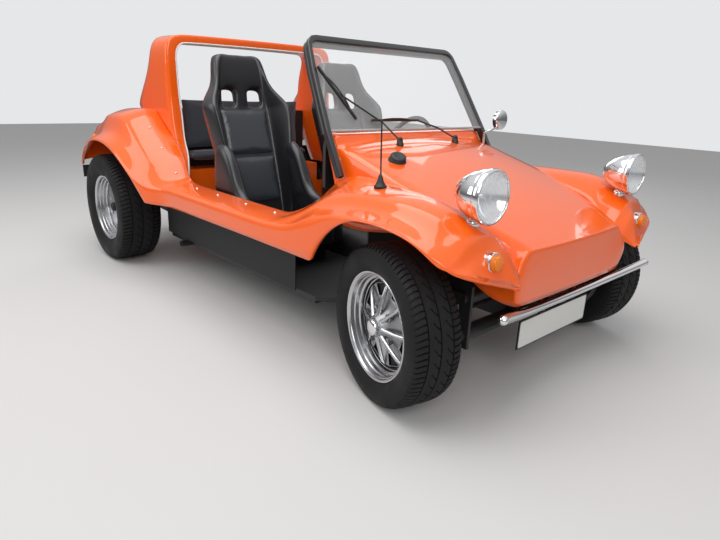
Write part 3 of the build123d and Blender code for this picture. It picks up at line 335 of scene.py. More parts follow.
# Tail panel
# The upright panel behind the engine bay closes the wings and carries the rear plate and lamps.
tail_x, tail_top, tail_foot, wing_foot, deck_half = -2856, 846, 720, 604, 600
tail = bmesh.new()
tail_points = section_at(side_sections, tail_x)
across = ([(-y, z) for y, z in reversed(tail_points)] + [(y, tail_top) for y in (-400, -200, 0, 200, 400)]
          + tail_points)
rows = []
for drop in (0.0, 0.3, 0.65, 1.0):
    row = []
    for y, z in across:
        foot = tail_foot if abs(y) <= deck_half else min(z, wing_foot)
        row.append(at(tail_x - (2 if drop else 0), y, z + (foot - z) * drop))
    rows.append(row)
surface(tail, rows)
tail_panel = finish_skin(tail, "tail_panel", orange_gloss, levels=1)
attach(tail_panel, "root")

# Nose and bonnet
# The middle of the front moulding: a bonnet with a long ridge each side that sinks to a flat nose.
# The side walls end at the cowl in a raked edge behind the legs of the screen.
# Columns: station; centre, middle, ridge, foot, waist and bottom (y, z)
nose_sections = (
    (350, ((0, 602), (175, 605), (350, 610), (404, 566), (446, 505), (400, 414))),
    (330, ((0, 611), (178, 614), (356, 618), (400, 566), (426, 500), (404, 412))),
    (260, ((0, 643), (200, 643), (382, 648), (408, 600), (428, 510), (430, 430))),
    (160, ((0, 687), (230, 687), (412, 688), (450, 668), (462, 580), (462, 500))),
    (30, ((0, 740), (250, 736), (440, 728), (482, 728), (482, 640), (478, 560))),
    (-150, ((0, 806), (280, 800), (497, 782), (506, 765), (502, 680), (498, 590))),
    (-330, ((0, 866), (300, 858), (499, 832), (511, 780), (510, 680), (508, 560))),
    (-450, ((0, 898), (300, 890), (500, 868), (512, 775), (512, 670), (512, 560))),
    (-530, ((0, 915), (300, 909), (500, 891), (513, 760), (513, 660), (513, 560))),
    (-552, ((0, 942), (300, 942), (500, 940), (513, 750), (513, 650), (513, 560))),
    (-620, ((0, 943), (300, 943), (500, 941), (513, 745), (513, 670), (513, 600))),
)
nose_stations = [350, 338, 318, 290, 260, 210, 160, 100, 30, -60, -150, -240, -330, -390, -450, -500, -530,
                 -541, -552, -580, -620]
nose_creases = {0: 0.2, 3: 0.55, 7: 0.55, 10: 0.2}
cowl_front = -330
foot_end, waist_end, bottom_end = -527, -510, -500
# The edge of the nose bows forward to meet the tips of the wings: foot, waist and bottom
tip_reach, reach_from = (2, 24, 10), 318


def pulled(x, end):
    """Moves a station of the side wall forward, so that the wall ends in a raked edge."""
    return x if x > cowl_front else cowl_front + (x - cowl_front) * (cowl_front - end) / (cowl_front + 620)


def reached(x, k):
    return x + tip_reach[k] * max(0, x - reach_from) / (350 - reach_from)


nose = bmesh.new()
rows = []
for x in nose_stations:
    centre, middle, ridge, foot, waist, bottom = section_at(nose_sections, x)
    right = [(reached(pulled(x, bottom_end), 2), *bottom), (reached(pulled(x, waist_end), 1), *waist),
             (reached(pulled(x, foot_end), 0), *foot), (x, *ridge), (x, *middle)]
    rows.append([at(px, -y, z) for px, y, z in right] + [at(x, *centre)]
                + [at(px, y, z) for px, y, z in reversed(right)])
surface(nose, rows, nose_creases)
# The front, from the crease of the bonnet down to the bumper, with a soft edge each side that runs in
# to the middle. Columns: edge, soft edge and centre (x, y, z)
face_lines = (
    ((350, 350, 610), (350, 175, 605), (350, 0, 602)),
    ((352, 404, 566), (353, 322, 562), (351, 0, 554)),
    ((374, 446, 505), (353, 262, 497), (351, 0, 486)),
    ((360, 400, 414), (351, 170, 404), (349, 0, 402)),
)
face_rows = [[at(x, -y, z) for x, y, z in line[:2]] + [at(x, y, z) for x, y, z in reversed(line)]
             for line in face_lines]
surface(nose, face_rows, {0: 0.75, 1: 0.3, 3: 0.3, 4: 0.75})
bmesh.ops.remove_doubles(nose, verts=nose.verts[:], dist=0.0015)
layer = nose.edges.layers.float["crease_edge"]
for edge in nose.edges:
    if all(abs(v.co.x - at(350, 0, 0).x) < 0.001 and v.co.z > 0.6 for v in edge.verts):
        edge[layer] = 0.85
bonnet = finish_skin(nose, "bonnet", orange_gloss)
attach(bonnet, "root")
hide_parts("body_front")

# Roll hoop
# A moulded hoop of the same orange skin over the cockpit, with sides that sweep back on to the deck.
# Its section is a hollow box with soft edges; a pale strip edges the opening in front.
# Columns: height at the outer side, outer (y, z), inner (y, z), front x, rear x inside, rear x outside
hoop_sections = (
    ((600, 604), (588, 604), -1772, -2150, -2152),
    ((600, 640), (576, 640), -1792, -2158, -2160),
    ((600, 720), (546, 720), -1853, -2165, -2170),
    ((600, 800), (537, 800), -1914, -2180, -2200),
    ((600, 930), (531, 930), -1938, -2230, -2300),
    ((600, 966), (532, 966), -1943, -2250, -2452),
    ((600, 1050), (535, 1050), -1954, -2252, -2376),
    ((600, 1181), (539, 1181), -1955, -2250, -2250),
    ((600, 1262), (540, 1262), -1955, -2222, -2206),
    ((597, 1318), (537, 1296), -1955, -2205, -2186),
    ((584, 1358), (523, 1326), -1955, -2196, -2172),
    ((556, 1384), (503, 1343), -1955, -2190, -2160),
    ((505, 1394), (470, 1349), -1955, -2186, -2152),
    ((250, 1396), (240, 1351), -1955, -2186, -2152),
    ((0, 1397), (0, 1352), -1955, -2186, -2152),
)


def hoop_ring(row, side):
    """One closed section of the hoop, from its front outer corner round and back."""
    (outer_y, outer_z), (inner_y, inner_z), front, back_in, back_out = row
    return [at(front, side * outer_y, outer_z), at(front, side * inner_y, inner_z),
            at((front + back_in) / 2, side * inner_y, inner_z), at(back_in, side * inner_y, inner_z),
            at(back_out, side * outer_y, outer_z), at((front + back_out) / 2, side * outer_y, outer_z),
            at(front, side * outer_y, outer_z)]


hoop_path = [(1, row) for row in hoop_sections] + [(-1, row) for row in reversed(hoop_sections[:-1])]
hoop = bmesh.new()
surface(hoop, [hoop_ring(row, side) for side, row in hoop_path], {0: 0.62, 1: 0.75, 3: 0.6, 4: 0.6, 6: 0.62})
hoop_shell = finish_skin(hoop, "hoop", orange_gloss, thickness=None)
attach(hoop_shell, "root")
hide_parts("roll_hoop")


def tube(name, points, radius, material, order=3):
    """A round bar along a smooth line through control points."""
    curve = bpy.data.curves.new(name, "CURVE")
    curve.dimensions = "3D"
    curve.bevel_depth = radius
    curve.bevel_resolution = 5
    curve.resolution_u = 8
    curve.use_fill_caps = True
    line = curve.splines.new("NURBS")
    line.points.add(len(points) - 1)
    for spot, point in zip(line.points, points):
        spot.co = (*point, 1)
    line.order_u = order
    line.use_endpoint_u = True
    obj = bpy.data.objects.new(name, curve)
    scene.collection.objects.link(obj)
    curve.materials.append(material)
    return obj


# Pale strip round the opening of the hoop, pressed over the front edge
strip_white = plain_surface("strip_white", (0.75, 0.74, 0.72), 0.4)
edge = [at(row[2] - 1, side * (row[1][0] + 2), row[1][1]) for side, row in hoop_path]
hoop_strip = tube("hoop_strip", edge, 0.0045, strip_white)
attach(hoop_strip, "root")

# Windscreen frame
# Two nested rims of black painted steel round flat glass, with a pale seal between them, on legs
# that run down outside the bonnet.
glass_foot, glass_top = (-549, 951), (-773, 1332)
foot_half, top_half = 546, 497
rake_up = Vector((glass_top[0] - glass_foot[0], 0, glass_top[1] - glass_foot[1])).normalized()
rake_out = Vector((rake_up.z, 0, -rake_up.x))
screen_high = 455.0
black_steel = plain_surface("black_steel", (0.012, 0.012, 0.013), 0.28, coat=0.6)


def on_screen(y, up, out):
    """A point of the raked screen: across, up from the foot of the glass, and out in front of it."""
    foot = at(glass_foot[0], 0, glass_foot[1])
    return foot + rake_up * (up / 1000) + rake_out * (out / 1000) + Vector((0, y / 1000, 0))


def half_at(up, inset):
    """Half the width of the frame at a height above the foot of the glass."""
    return foot_half + (top_half - foot_half) * min(max(up, 0), screen_high) / screen_high - inset


leg_foot = -204
leg_foot_half = 556


def screen_path(inset, top_inset, low):
    """The right half of the outline of the frame, from its foot up and over to the middle."""
    corner, high = 62 - inset, screen_high - top_inset
    turn = [radians(a) for a in (0, 22.5, 45, 67.5, 90)]
    edge = half_at(high, inset)
    arc = [(edge - corner + corner * cos(a), high - corner + corner * sin(a)) for a in turn]
    foot = leg_foot_half - inset if low < 0 else half_at(low, inset)
    start = [(foot, low)] + ([(half_at(0, inset), 0)] if low < 0 else [])
    return start + [(half_at(150, inset), 150), (half_at(290, inset), 290)] + arc + [(250, high), (0, high)]


def frame_rim(name, outer, inner, top_outer, top_inner, front, back, low, material):
    """A rim between two insets, as a closed box section with rounded edges."""
    rim = bmesh.new()
    right = list(zip(screen_path(outer, top_outer, low), screen_path(inner, top_inner, low)))
    path = [(1, pair) for pair in right] + [(-1, pair) for pair in right[-2::-1]]
    rows = []
    for side, ((yo, uo), (yi, ui)) in path:
        rows.append([on_screen(side * yo, uo, front), on_screen(side * yi, ui, front),
                     on_screen(side * yi, ui, back), on_screen(side * yo, uo, back),
                     on_screen(side * yo, uo, front)])
    surface(rim, rows)
    obj = finish_skin(rim, name, material, levels=0, thickness=None)
    round_off = obj.modifiers.new("edges", "BEVEL")
    round_off.width = 0.004
    round_off.segments = 3
    round_off.limit_method = "ANGLE"
    round_off.angle_limit = radians(40)
    return obj


pale_seal = plain_surface("pale_seal", (0.42, 0.42, 0.41), 0.5)
# Columns: name; outer and inner inset at the sides, then at the top; front, back; lowest point; material
screen_rims = (
    ("screen_rim_front", 0, 22, 0, 30, 10, -14, leg_foot, black_steel),
    ("screen_rim_back", 3, 24, 3, 34, -19, -42, 0, black_steel),
    ("screen_seal", 5, 20, 5, 28, -12, -21, 0, pale_seal),
    ("screen_leg_back", 4, 22, 4, 30, -10, -30, leg_foot + 8, black_steel),
)
screen_pieces = [frame_rim(*row) for row in screen_rims]
screen_pieces.append(tube("screen_foot_seal", [on_screen(y, 3, 0) for y in (-524, 0, 524)], 0.005, pale_seal,
                          order=2))
for piece in screen_pieces:
    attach(piece, "root")
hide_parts("windscreen_frame")

# Windscreen glass
# Flat laminated glass, very slightly grey.
def node_material(name, material):
    """Gives a CAD node that stays as it is its finished material."""
    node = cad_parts[name]
    node.data.materials.clear()
    node.data.materials.append(material)


node_material("windscreen_glass", plain_surface("screen_glass", (0.93, 0.96, 0.96), 0.02, sockets=(
    ("Alpha", 0.13), ("Specular IOR Level", 0.8))))

# Tyres
# Wide radial tyres in black rubber: four ribs between three grooves, close cross cuts on the
# shoulders, slanted sipes on the middle ribs, and plain walls with a bead line.
def swept(mesh, profile, angles, centre, out, offsets=None, up=Vector((0, 0, 1))):
    """A surface of revolution of (out, radius) points, with a change of radius by row and column."""
    across = up.cross(out)
    rows = []
    for i, angle in enumerate(angles):
        spoke = across * cos(angle) + up * sin(angle)
        rows.append([centre + out * d + spoke * (r + (offsets(i, j) if offsets else 0))
                     for j, (d, r) in enumerate(profile)])
    return surface(mesh, rows)


steer = radians(-13.5)
kingpin_x, kingpin_y, hub_reach = 30, 590, 0.078
ends = (("left", 1), ("right", -1))
# Columns: name, middle of the tyre, its axis outwards, width and radius in metres
wheel_table = []
for end, side in ends:
    out = Vector((-sin(steer), cos(steer), 0)) * side
    wheel_table.append(("front_" + end, at(kingpin_x, side * kingpin_y, 305) + out * hub_reach, out, 0.195,
                        0.305))
    wheel_table.append(("rear_" + end, at(-2400, side * 770, 340), Vector((0, side, 0)), 0.255, 0.340))

rubber, nodes, links = new_material("tyre_rubber")
shader = nodes["Principled BSDF"]
shader.inputs["Base Color"].default_value = (0.011, 0.011, 0.012, 1)
shader.inputs["Specular IOR Level"].default_value = 0.2
place = nodes.new("ShaderNodeTexCoord")
dust = nodes.new("ShaderNodeTexNoise")
dust.inputs["Scale"].default_value = 9
dust.inputs["Detail"].default_value = 6
tone = nodes.new("ShaderNodeMapRange")
tone.inputs["From Min"].default_value = 0.35
tone.inputs["From Max"].default_value = 0.7
tone.inputs["To Min"].default_value = 0.5
tone.inputs["To Max"].default_value = 0.75
links.new(place.outputs["Object"], dust.inputs["Vector"])
links.new(dust.outputs["Fac"], tone.inputs["Value"])
links.new(tone.outputs["Result"], shader.inputs["Roughness"])

# The rim is this share of the width of the tyre
groove_depth, pitches, rim_share = 0.008, 84, 0.72


def tread_profile(width, radius):
    """Points (out, radius, kind, lead) across the tyre. Kind names the rib or groove, and lead turns
    the point ahead by a share of a pitch, so that the cuts slant."""
    half = width / 2
    bead = 0.1905
    wall = radius - bead
    rim = half * rim_share
    inside = [(-(rim + 0.0055), bead + 0.001), (-(rim + 0.0055), 0.2078), (-(rim + 0.013), 0.2085),
              (-(rim + 0.017), 0.2125), (-half * 0.95, bead + wall * 0.30), (-half, bead + wall * 0.50),
              (-half * 0.992, bead + wall * 0.66), (-half * 0.955, radius - 0.021)]
    inside = [(d, r, "wall", 0) for d, r in inside]
    tread = [(-half * 0.93, radius - 0.0165, "side", 0.5), (-half * 0.88, radius - 0.009, "shoulder", 0.34),
             (-half * 0.72, radius - 0.0035, "shoulder", 0.08),
             (-half * 0.56, radius - 0.0018, "shoulder", 0)]
    top = radius - 0.0012
    middle = []
    for edge in (-0.53, -0.02, 0.49):
        left, right = half * edge, half * (edge + 0.05)
        middle += [(left, top, "rib", 0), (left + 0.0008, top, "groove", 0),
                   (right - 0.0008, top, "groove", 0), (right, top, "rib", 0)]
        if edge < 0.4:
            middle += [(right + 0.0012, top, "sipe", 0), (half * (edge + 0.17), top + 0.0006, "sipe", 0.35),
                       (half * (edge + 0.27), top + 0.0008, "sipe", 1.0),
                       (half * (edge + 0.31), top, "rib", 1.1)]
    other = [(-d, r, kind, -lead) for d, r, kind, lead in reversed(tread)]
    outside = [(-d, r, kind, 0) for d, r, kind, lead in reversed(inside)]
    return inside + tread + middle + other + outside


def make_tyre(name, centre, out, width, radius):
    """A tyre, built row by row round its axle, with the cuts and sipes pressed into the tread."""
    points = tread_profile(width, radius)
    step = 2 * pi / pitches
    across = Vector((0, 0, 1)).cross(out)
    rows = []
    for k in range(pitches):
        for share, cut in ((0.0, 0), (0.03, 1), (0.27, 1), (0.30, 0), (0.65, 0)):
            row = []
            for d, r, kind, lead in points:
                drop = groove_depth if kind == "groove" else 0
                if cut and kind == "shoulder":
                    drop = groove_depth * 0.9
                if cut and kind == "side":
                    drop = groove_depth * 0.4
                if cut and kind == "sipe" and k % 2 == 0:
                    drop = groove_depth * 0.6
                angle = step * (k + share + lead)
                spoke = across * cos(angle) + Vector((0, 0, 1)) * sin(angle)
                row.append(centre + out * d + spoke * (r - drop))
            rows.append(row)
    rows.append(rows[0])
    mesh = bmesh.new()
    surface(mesh, rows)
    clean_mesh(mesh)
    return as_object("road_tyre_" + name, mesh, rubber, 38)


for name, centre, out, width, radius in wheel_table:
    tyre = make_tyre(name, centre, out, width, radius)
    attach(tyre, "wheel_" + name)
    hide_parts("tyre_" + name)

# Rims
# Front rims: a polished stepped barrel and a silver disc with eight round spokes, a window between
# each two, four nuts in pockets and a domed chrome cap. Rear rims: a deep plain dish.
silver = plain_surface("wheel_silver", (0.34, 0.345, 0.36), 0.40, metallic=0.9)
polished = plain_surface("polished_alloy", (0.56, 0.56, 0.57), 0.22, metallic=1.0)
chrome = plain_surface("chrome", (0.80, 0.80, 0.81), 0.06, metallic=1.0)
shadow_black = plain_surface("shadow_black", (0.006, 0.006, 0.007), 0.6)
lip_r, seat_r = 0.2075, 0.190


def spun_mesh(profile, steps, centre, out, up=Vector((0, 0, 1))):
    """A turned form, from its profile of (out, radius) points."""
    mesh = bmesh.new()
    swept(mesh, profile, [2 * pi * k / steps for k in range(steps + 1)], centre, out, up=up)
    clean_mesh(mesh)
    return mesh


def spun_piece(name, profile, centre, out, material, steps=96, sharp=35, up=Vector((0, 0, 1))):
    """A turned piece, smooth up to an angle in degrees."""
    return as_object(name, spun_mesh(profile, steps, centre, out, up), material, sharp)


def barrel_profile(flange, disc_out):
    """The barrel from the outer lip, down three soft steps, to the well and the inner lip."""
    lip = [(flange - 0.007, lip_r - 0.001), (flange - 0.003, lip_r), (flange, lip_r - 0.003),
           (flange - 0.0005, lip_r - 0.008), (flange - 0.004, lip_r - 0.013),
           (flange - 0.009, seat_r + 0.001)]
    steps = []
    depth, radius = flange - 0.009, seat_r + 0.001
    for drop in (0.006, 0.009, 0.009):
        run = 0.014
        steps += [(depth - run, radius - 0.0015), (depth - run - 0.004, radius - drop)]
        depth, radius = depth - run - 0.004, radius - drop
    floor = [(disc_out - 0.002, radius - 0.002), (disc_out - 0.012, radius - 0.002),
             (-flange + 0.05, radius - 0.002), (-flange + 0.02, seat_r - 0.006), (-flange, seat_r - 0.002),
             (-flange, lip_r), (-flange + 0.007, lip_r), (-flange + 0.0085, seat_r),
             (-flange + 0.05, radius + 0.006), (disc_out - 0.02, radius + 0.006),
             (flange - 0.040, seat_r - 0.002), (flange - 0.0085, seat_r), (flange - 0.0085, lip_r - 0.001)]
    return lip + steps + floor + [(flange - 0.007, lip_r - 0.001)]


# Columns: share of the length from the hub, of the width and of the height
spoke_shape = ((0, 1.25, 1.1), (0.12, 1.0, 1.0), (0.5, 0.86, 0.9), (0.88, 0.95, 0.8), (1, 0.7, 0.2))


def spoke_bar(centre, out, angle, start, end, width, height):
    """A raised spoke with a round back, from the hub to the edge of the disc."""
    across = Vector((0, 0, 1)).cross(out)
    line = across * cos(angle) + Vector((0, 0, 1)) * sin(angle)
    side = out.cross(line)
    mesh = bmesh.new()
    rows = []
    for share, wide, high in spoke_shape:
        d = start[0] + (end[0] - start[0]) * share
        r = start[1] + (end[1] - start[1]) * share
        base = centre + out * d + line * r
        rows.append([base + side * (width * wide * cos(a)) + out * (height * high * sin(a))
                     for a in [pi * k / 8 for k in range(9)]])
    surface(mesh, rows)
    bmesh.ops.recalc_face_normals(mesh, faces=mesh.faces[:])
    return mesh


def join_pieces(name, meshes, material):
    """One object from several meshes."""
    whole = bmesh.new()
    for mesh in meshes:
        part = bpy.data.meshes.new("part")
        mesh.to_mesh(part)
        mesh.free()
        whole.from_mesh(part)
        bpy.data.meshes.remove(part)
    return as_object(name, whole, material, 40)


window_inner, window_outer, window_turn = 0.112, 0.155, radians(12.0)
disc_rings = (0.021, 0.036, 0.043, 0.050, 0.072, 0.100, window_inner, window_outer, 0.159, 0.1645)
disc_outs = (0.078, 0.078, 0.070, 0.052, 0.036, 0.028, 0.026, 0.024, 0.026, 0.020)


def windowed_disc(centre, out):
    """The disc, spun ring by ring, with the faces of the eight windows taken out."""
    mesh = bmesh.new()
    angles = []
    for k in range(8):
        middle = radians(22.5 + 45 * k)
        angles += [middle - window_turn, middle + window_turn]
        angles += [middle + window_turn + (radians(45) - 2 * window_turn) * s for s in (0.2, 0.4, 0.6, 0.8)]
    angles.append(angles[0] + 2 * pi)
    profile = list(zip(disc_outs, disc_rings))
    swept(mesh, profile, angles, centre, out)
    bmesh.ops.remove_doubles(mesh, verts=mesh.verts[:], dist=0.00005)
    gone = []
    across = Vector((0, 0, 1)).cross(out)
    for face in mesh.faces:
        spot = face.calc_center_median() - centre
        radius = (spot - out * spot.dot(out)).length
        turn = (atan2(spot.z, spot.dot(across)) - radians(22.5)) % radians(45)
        near = min(turn, radians(45) - turn)
        if window_inner < radius < window_outer and near < window_turn:
            gone.append(face)
    bmesh.ops.delete(mesh, geom=gone, context="FACES")
    bmesh.ops.recalc_face_normals(mesh, faces=mesh.faces[:])
    return mesh


# Turned parts of the rims: name, profile of (out, radius) and material
front_parts = (
    ("ring", ((0.0215, 0.1680), (0.0215, 0.1635), (0.0275, 0.1640), (0.0275, 0.1680)), shadow_black),
    # The shade is a flat black ring just behind the disc, a sheet of painted shade that shows through the
    # windows.
    ("shade", ((0.016, 0.160), (0.016, 0.100), (0.008, 0.100), (0.008, 0.160), (0.016, 0.160)),
     shadow_black),
    ("cap", ((0.070, 0.033), (0.086, 0.033), (0.092, 0.0305), (0.096, 0.024), (0.0985, 0.013),
             (0.0995, 0.0)), chrome),
)
rear_parts = (
    ("disc", ((0.034, 0.1655), (0.036, 0.160), (0.034, 0.150), (0.037, 0.145), (0.040, 0.120),
              (0.041, 0.085), (0.047, 0.066), (0.053, 0.052), (0.054, 0.021), (0.030, 0.021),
              (0.030, 0.1655), (0.034, 0.1655)), silver),
    ("cap", ((0.050, 0.030), (0.062, 0.029), (0.069, 0.022), (0.072, 0.012), (0.073, 0.0)), shadow_black),
    ("ring", ((0.0375, 0.1672), (0.0375, 0.1650), (0.0395, 0.1650), (0.0395, 0.1672)), shadow_black),
)
# Wheel nuts: profile and number of sides. Those of the front rims stand in round pockets.
front_nuts = ((((0.038, 0.0155), (0.052, 0.0155), (0.0545, 0.0125), (0.046, 0.0115), (0.044, 0.0)), 24),
              (((0.040, 0.0095), (0.053, 0.0095), (0.056, 0.0065), (0.056, 0.0)), 6))
rear_nuts = ((((0.040, 0.0105), (0.056, 0.0105), (0.059, 0.0070), (0.059, 0.0)), 6),)
nut_circle, disc_wall = 0.065, 0.004


def round_hub(centre, out, turn, radius):
    """A point round a hub, by its angle and its distance from the axis."""
    up = Vector((0, 0, 1))
    return centre + (up.cross(out) * cos(turn) + up * sin(turn)) * radius


for name, centre, out, width, radius in wheel_table:
    front = name.startswith("front")
    flange = width / 2 * rim_share + 0.014
    barrel = spun_piece("rim_barrel_" + name, barrel_profile(flange, 0.024 if front else 0.038), centre, out,
                        polished)
    pieces = [barrel]
    for part, profile, material in front_parts if front else rear_parts:
        pieces.append(spun_piece("rim_%s_%s" % (part, name), profile, centre, out, material))
    if front:
        disc = join_pieces("rim_disc_" + name, [windowed_disc(centre, out)], silver)
        wall = disc.modifiers.new("wall", "SOLIDIFY")
        wall.thickness = disc_wall
        wall.offset = -1.0
        bars = [spoke_bar(centre, out, radians(45 * k), (0.060, 0.040), (0.026, 0.160), 0.0085, 0.015)
                for k in range(8)]
        pieces += [disc, join_pieces("rim_spokes_" + name, bars, polished)]
    nuts = [spun_mesh(profile, steps, round_hub(centre, out, radians(45 + 90 * k), nut_circle), out)
            for k in range(4) for profile, steps in (front_nuts if front else rear_nuts)]
    pieces.append(join_pieces("rim_nuts_" + name, nuts, silver if front else polished))
    for piece in pieces:
        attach(piece, "wheel_" + name)
    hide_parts("rim_" + name)

# Front seats
# High-back bucket seats in black leatherette: a moulded shell with raised wings and two slots under
# the head, padded thigh bolsters, and inflated pads for the back and the cushion.
seat_x, seat_y, seat_z = -1404, 365, 320
back_rake = radians(14)
seat_up = Vector((-sin(back_rake), 0, cos(back_rake)))
seat_out = Vector((cos(back_rake), 0, sin(back_rake)))


def on_back(y, up, out):
    """A point of the backrest: across, up from the hip, and out in front of its rear face."""
    return at(seat_x, y, seat_z + 40) + seat_up * (up / 1000) + seat_out * (out / 1000)


def leatherette(name, colour, roughness, grain=420.0):
    """Grained leatherette with a soft sheen."""
    material = plain_surface(name, colour, roughness, coat=0.25, sockets=(("Coat Roughness", 0.3),))
    relief(material, "Voronoi", grain, 0.25, 0.0006)
    return material


seat_black = leatherette("seat_black", (0.010, 0.010, 0.012), 0.27)
seat_grey = leatherette("seat_grey", (0.034, 0.038, 0.046), 0.27)

# Columns: height; half width, insert edge, crest (across); middle, insert edge, crest, side (out)
back_sections = (
    (4, 190, 146, 176, 60, 62, 100, 60),
    (60, 206, 148, 184, 64, 68, 124, 74),
    (200, 214, 148, 188, 66, 72, 150, 88),
    (300, 216, 146, 190, 65, 71, 160, 94),
    (400, 224, 146, 196, 61, 68, 166, 98),
    (500, 240, 148, 207, 54, 62, 172, 100),
    (590, 252, 150, 217, 47, 56, 172, 96),
    (640, 256, 150, 220, 42, 50, 164, 88),
    (657, 254, 149, 215, 42, 47, 155, 82),
    (690, 242, 142, 201, 48, 49, 137, 72),
    (722, 219, 136, 181, 54, 55, 119, 64),
    (753, 194, 133, 165, 60, 60, 104, 58),
    (800, 168, 128, 149, 68, 67, 92, 52),
    (860, 159, 120, 141, 74, 74, 86, 46),
    (905, 150, 110, 131, 77, 76, 82, 42),
    (928, 140, 100, 121, 75, 74, 74, 40),
    (938, 120, 86, 103, 55, 54, 52, 30),
)
slot_rows, slot_half = (8, 11), (44, 121)


def seat_shell():
    """The backrest as a closed shell with its two slots."""
    mesh = bmesh.new()
    rows = []
    for up, half, insert, crest, middle, edge, top, side in back_sections:
        outer = min(slot_half[1], insert - 8)
        front = [(slot_half[0] * min(1, half / 150), middle - 5), (outer, (middle + edge) / 2 - 3),
                 (insert, edge), (insert + 10, edge + 8), (crest, top), ((crest + half) / 2 + 4, top - 8),
                 (half, side)]
        back = [(half - 6, 6), (outer, 0), (slot_half[0] * min(1, half / 150), 0)]
        right = [(0, middle)] + front + back
        ring = right + [(0, 0)] + [(-y, out) for y, out in reversed(right[1:])] + [right[0]]
        rows.append([on_back(y, up, out) for y, out in ring])
    surface(mesh, rows, {3: 0.35, 19: 0.35})
    bmesh.ops.remove_doubles(mesh, verts=mesh.verts[:], dist=0.0002)
    first, last = slot_rows
    low, high = back_sections[first][0], back_sections[last][0]
    gone = []
    for face in mesh.faces:
        spot = face.calc_center_median() - on_back(0, 0, 0)
        up = spot.dot(seat_up) * 1000
        if low < up < high and slot_half[0] < abs(spot.y * 1000) < slot_half[1] - 6 and len(face.verts) == 4:
            width = max(abs(v.co.y) for v in face.verts) - min(abs(v.co.y) for v in face.verts)
            if width > 0.05:
                gone.append(face)
    bmesh.ops.delete(mesh, geom=gone, context="FACES")
    rims = [e for e in mesh.edges if e.is_boundary and low - 1 < (e.verts[0].co - on_back(0, 0, 0)).dot(
        seat_up) * 1000 < high + 1]
    for side in (1, -1):
        bmesh.ops.bridge_loops(mesh, edges=[e for e in rims if e.verts[0].co.y * side > 0])
    bmesh.ops.holes_fill(mesh, edges=[e for e in mesh.edges if e.is_boundary], sides=0)
    return mesh


# Columns: distance ahead of the backrest's foot, height of the top
bolster_tops = ((-20, 505), (28, 520), (72, 514), (112, 484), (146, 436), (176, 378), (204, 318), (244, 268),
                (310, 238), (390, 226), (445, 204), (474, 140), (484, 60))


def thigh_bolster(side):
    """A padded bolster along one side of the cushion, rounded over its top."""
    mesh = bmesh.new()
    rows = []
    for x, top in bolster_tops:
        ring = [(188, 4), (178, top - 74), (187, top - 26), (215, top), (244, top - 20), (254, top - 66),
                (254, top * 0.45), (248, 4)]
        rows.append([at(seat_x + x, side * y, seat_z + max(z, 4)) for y, z in ring] + [
            at(seat_x + x, side * ring[0][0], seat_z + 4)])
    surface(mesh, rows, {0: 0.5, 7: 0.5})
    bmesh.ops.remove_doubles(mesh, verts=mesh.verts[:], dist=0.0002)
    bmesh.ops.holes_fill(mesh, edges=[e for e in mesh.edges if e.is_boundary], sides=0)
    return mesh


def pillow(place, half_u, half_v, half_w, pull=0.05):
    """A crowned closed pad: thin at its edges, with sides that pull in between the corners."""
    mesh = bmesh.new()
    bmesh.ops.create_cube(mesh, size=2)
    bmesh.ops.subdivide_edges(mesh, edges=mesh.edges[:], cuts=13, use_grid_fill=True)
    for vert in mesh.verts:
        u, v, w = vert.co
        near_edge = max(abs(u), abs(v)) ** 8
        vert.co = place(u * half_u * (1 - pull * (1 - v * v)), v * half_v * (1 - pull * (1 - u * u)),
                        w * half_w * (1 - 0.45 * near_edge))
    return mesh


pad_pressure, pad_frames = 4.0, 20


def plump(obj, cap, voxel):
    """Fills a pad with air pressure as cloth, and keeps the result as its mesh."""
    grid = obj.modifiers.new("voxels", "REMESH")
    grid.mode = "VOXEL"
    grid.voxel_size = voxel
    obj.data = baked(obj)
    obj.modifiers.remove(grid)
    start = [vert.co.copy() for vert in obj.data.vertices]
    cloth = obj.modifiers.new("cloth", "CLOTH")
    cloth.settings.use_pressure = True
    cloth.settings.uniform_pressure_force = pad_pressure
    cloth.settings.effector_weights.gravity = 0
    cloth.point_cache.frame_start, cloth.point_cache.frame_end = 1, pad_frames
    for frame_number in range(1, pad_frames + 1):
        scene.frame_set(frame_number)
    full = baked(obj)
    obj.modifiers.remove(cloth)
    for vert, old in zip(full.vertices, start):
        move = vert.co - old
        if move.length > cap:
            vert.co = old + move * (cap / move.length)
    obj.data = full
    scene.frame_set(1)


def pad_object(name, mesh, material, levels=1, sewn=True, cap=0.006, voxel=0.006):
    """A padded piece: its form, filled if it is sewn, and smoothed."""
    obj = finish_skin(mesh, name, material, levels=0, thickness=None)
    if sewn:
        plump(obj, cap, voxel)
    obj.data.shade_smooth()
    obj.data.materials.clear()
    obj.data.materials.append(material)
    smooth = obj.modifiers.new("smooth", "SUBSURF")
    smooth.levels = smooth.render_levels = levels
    return obj


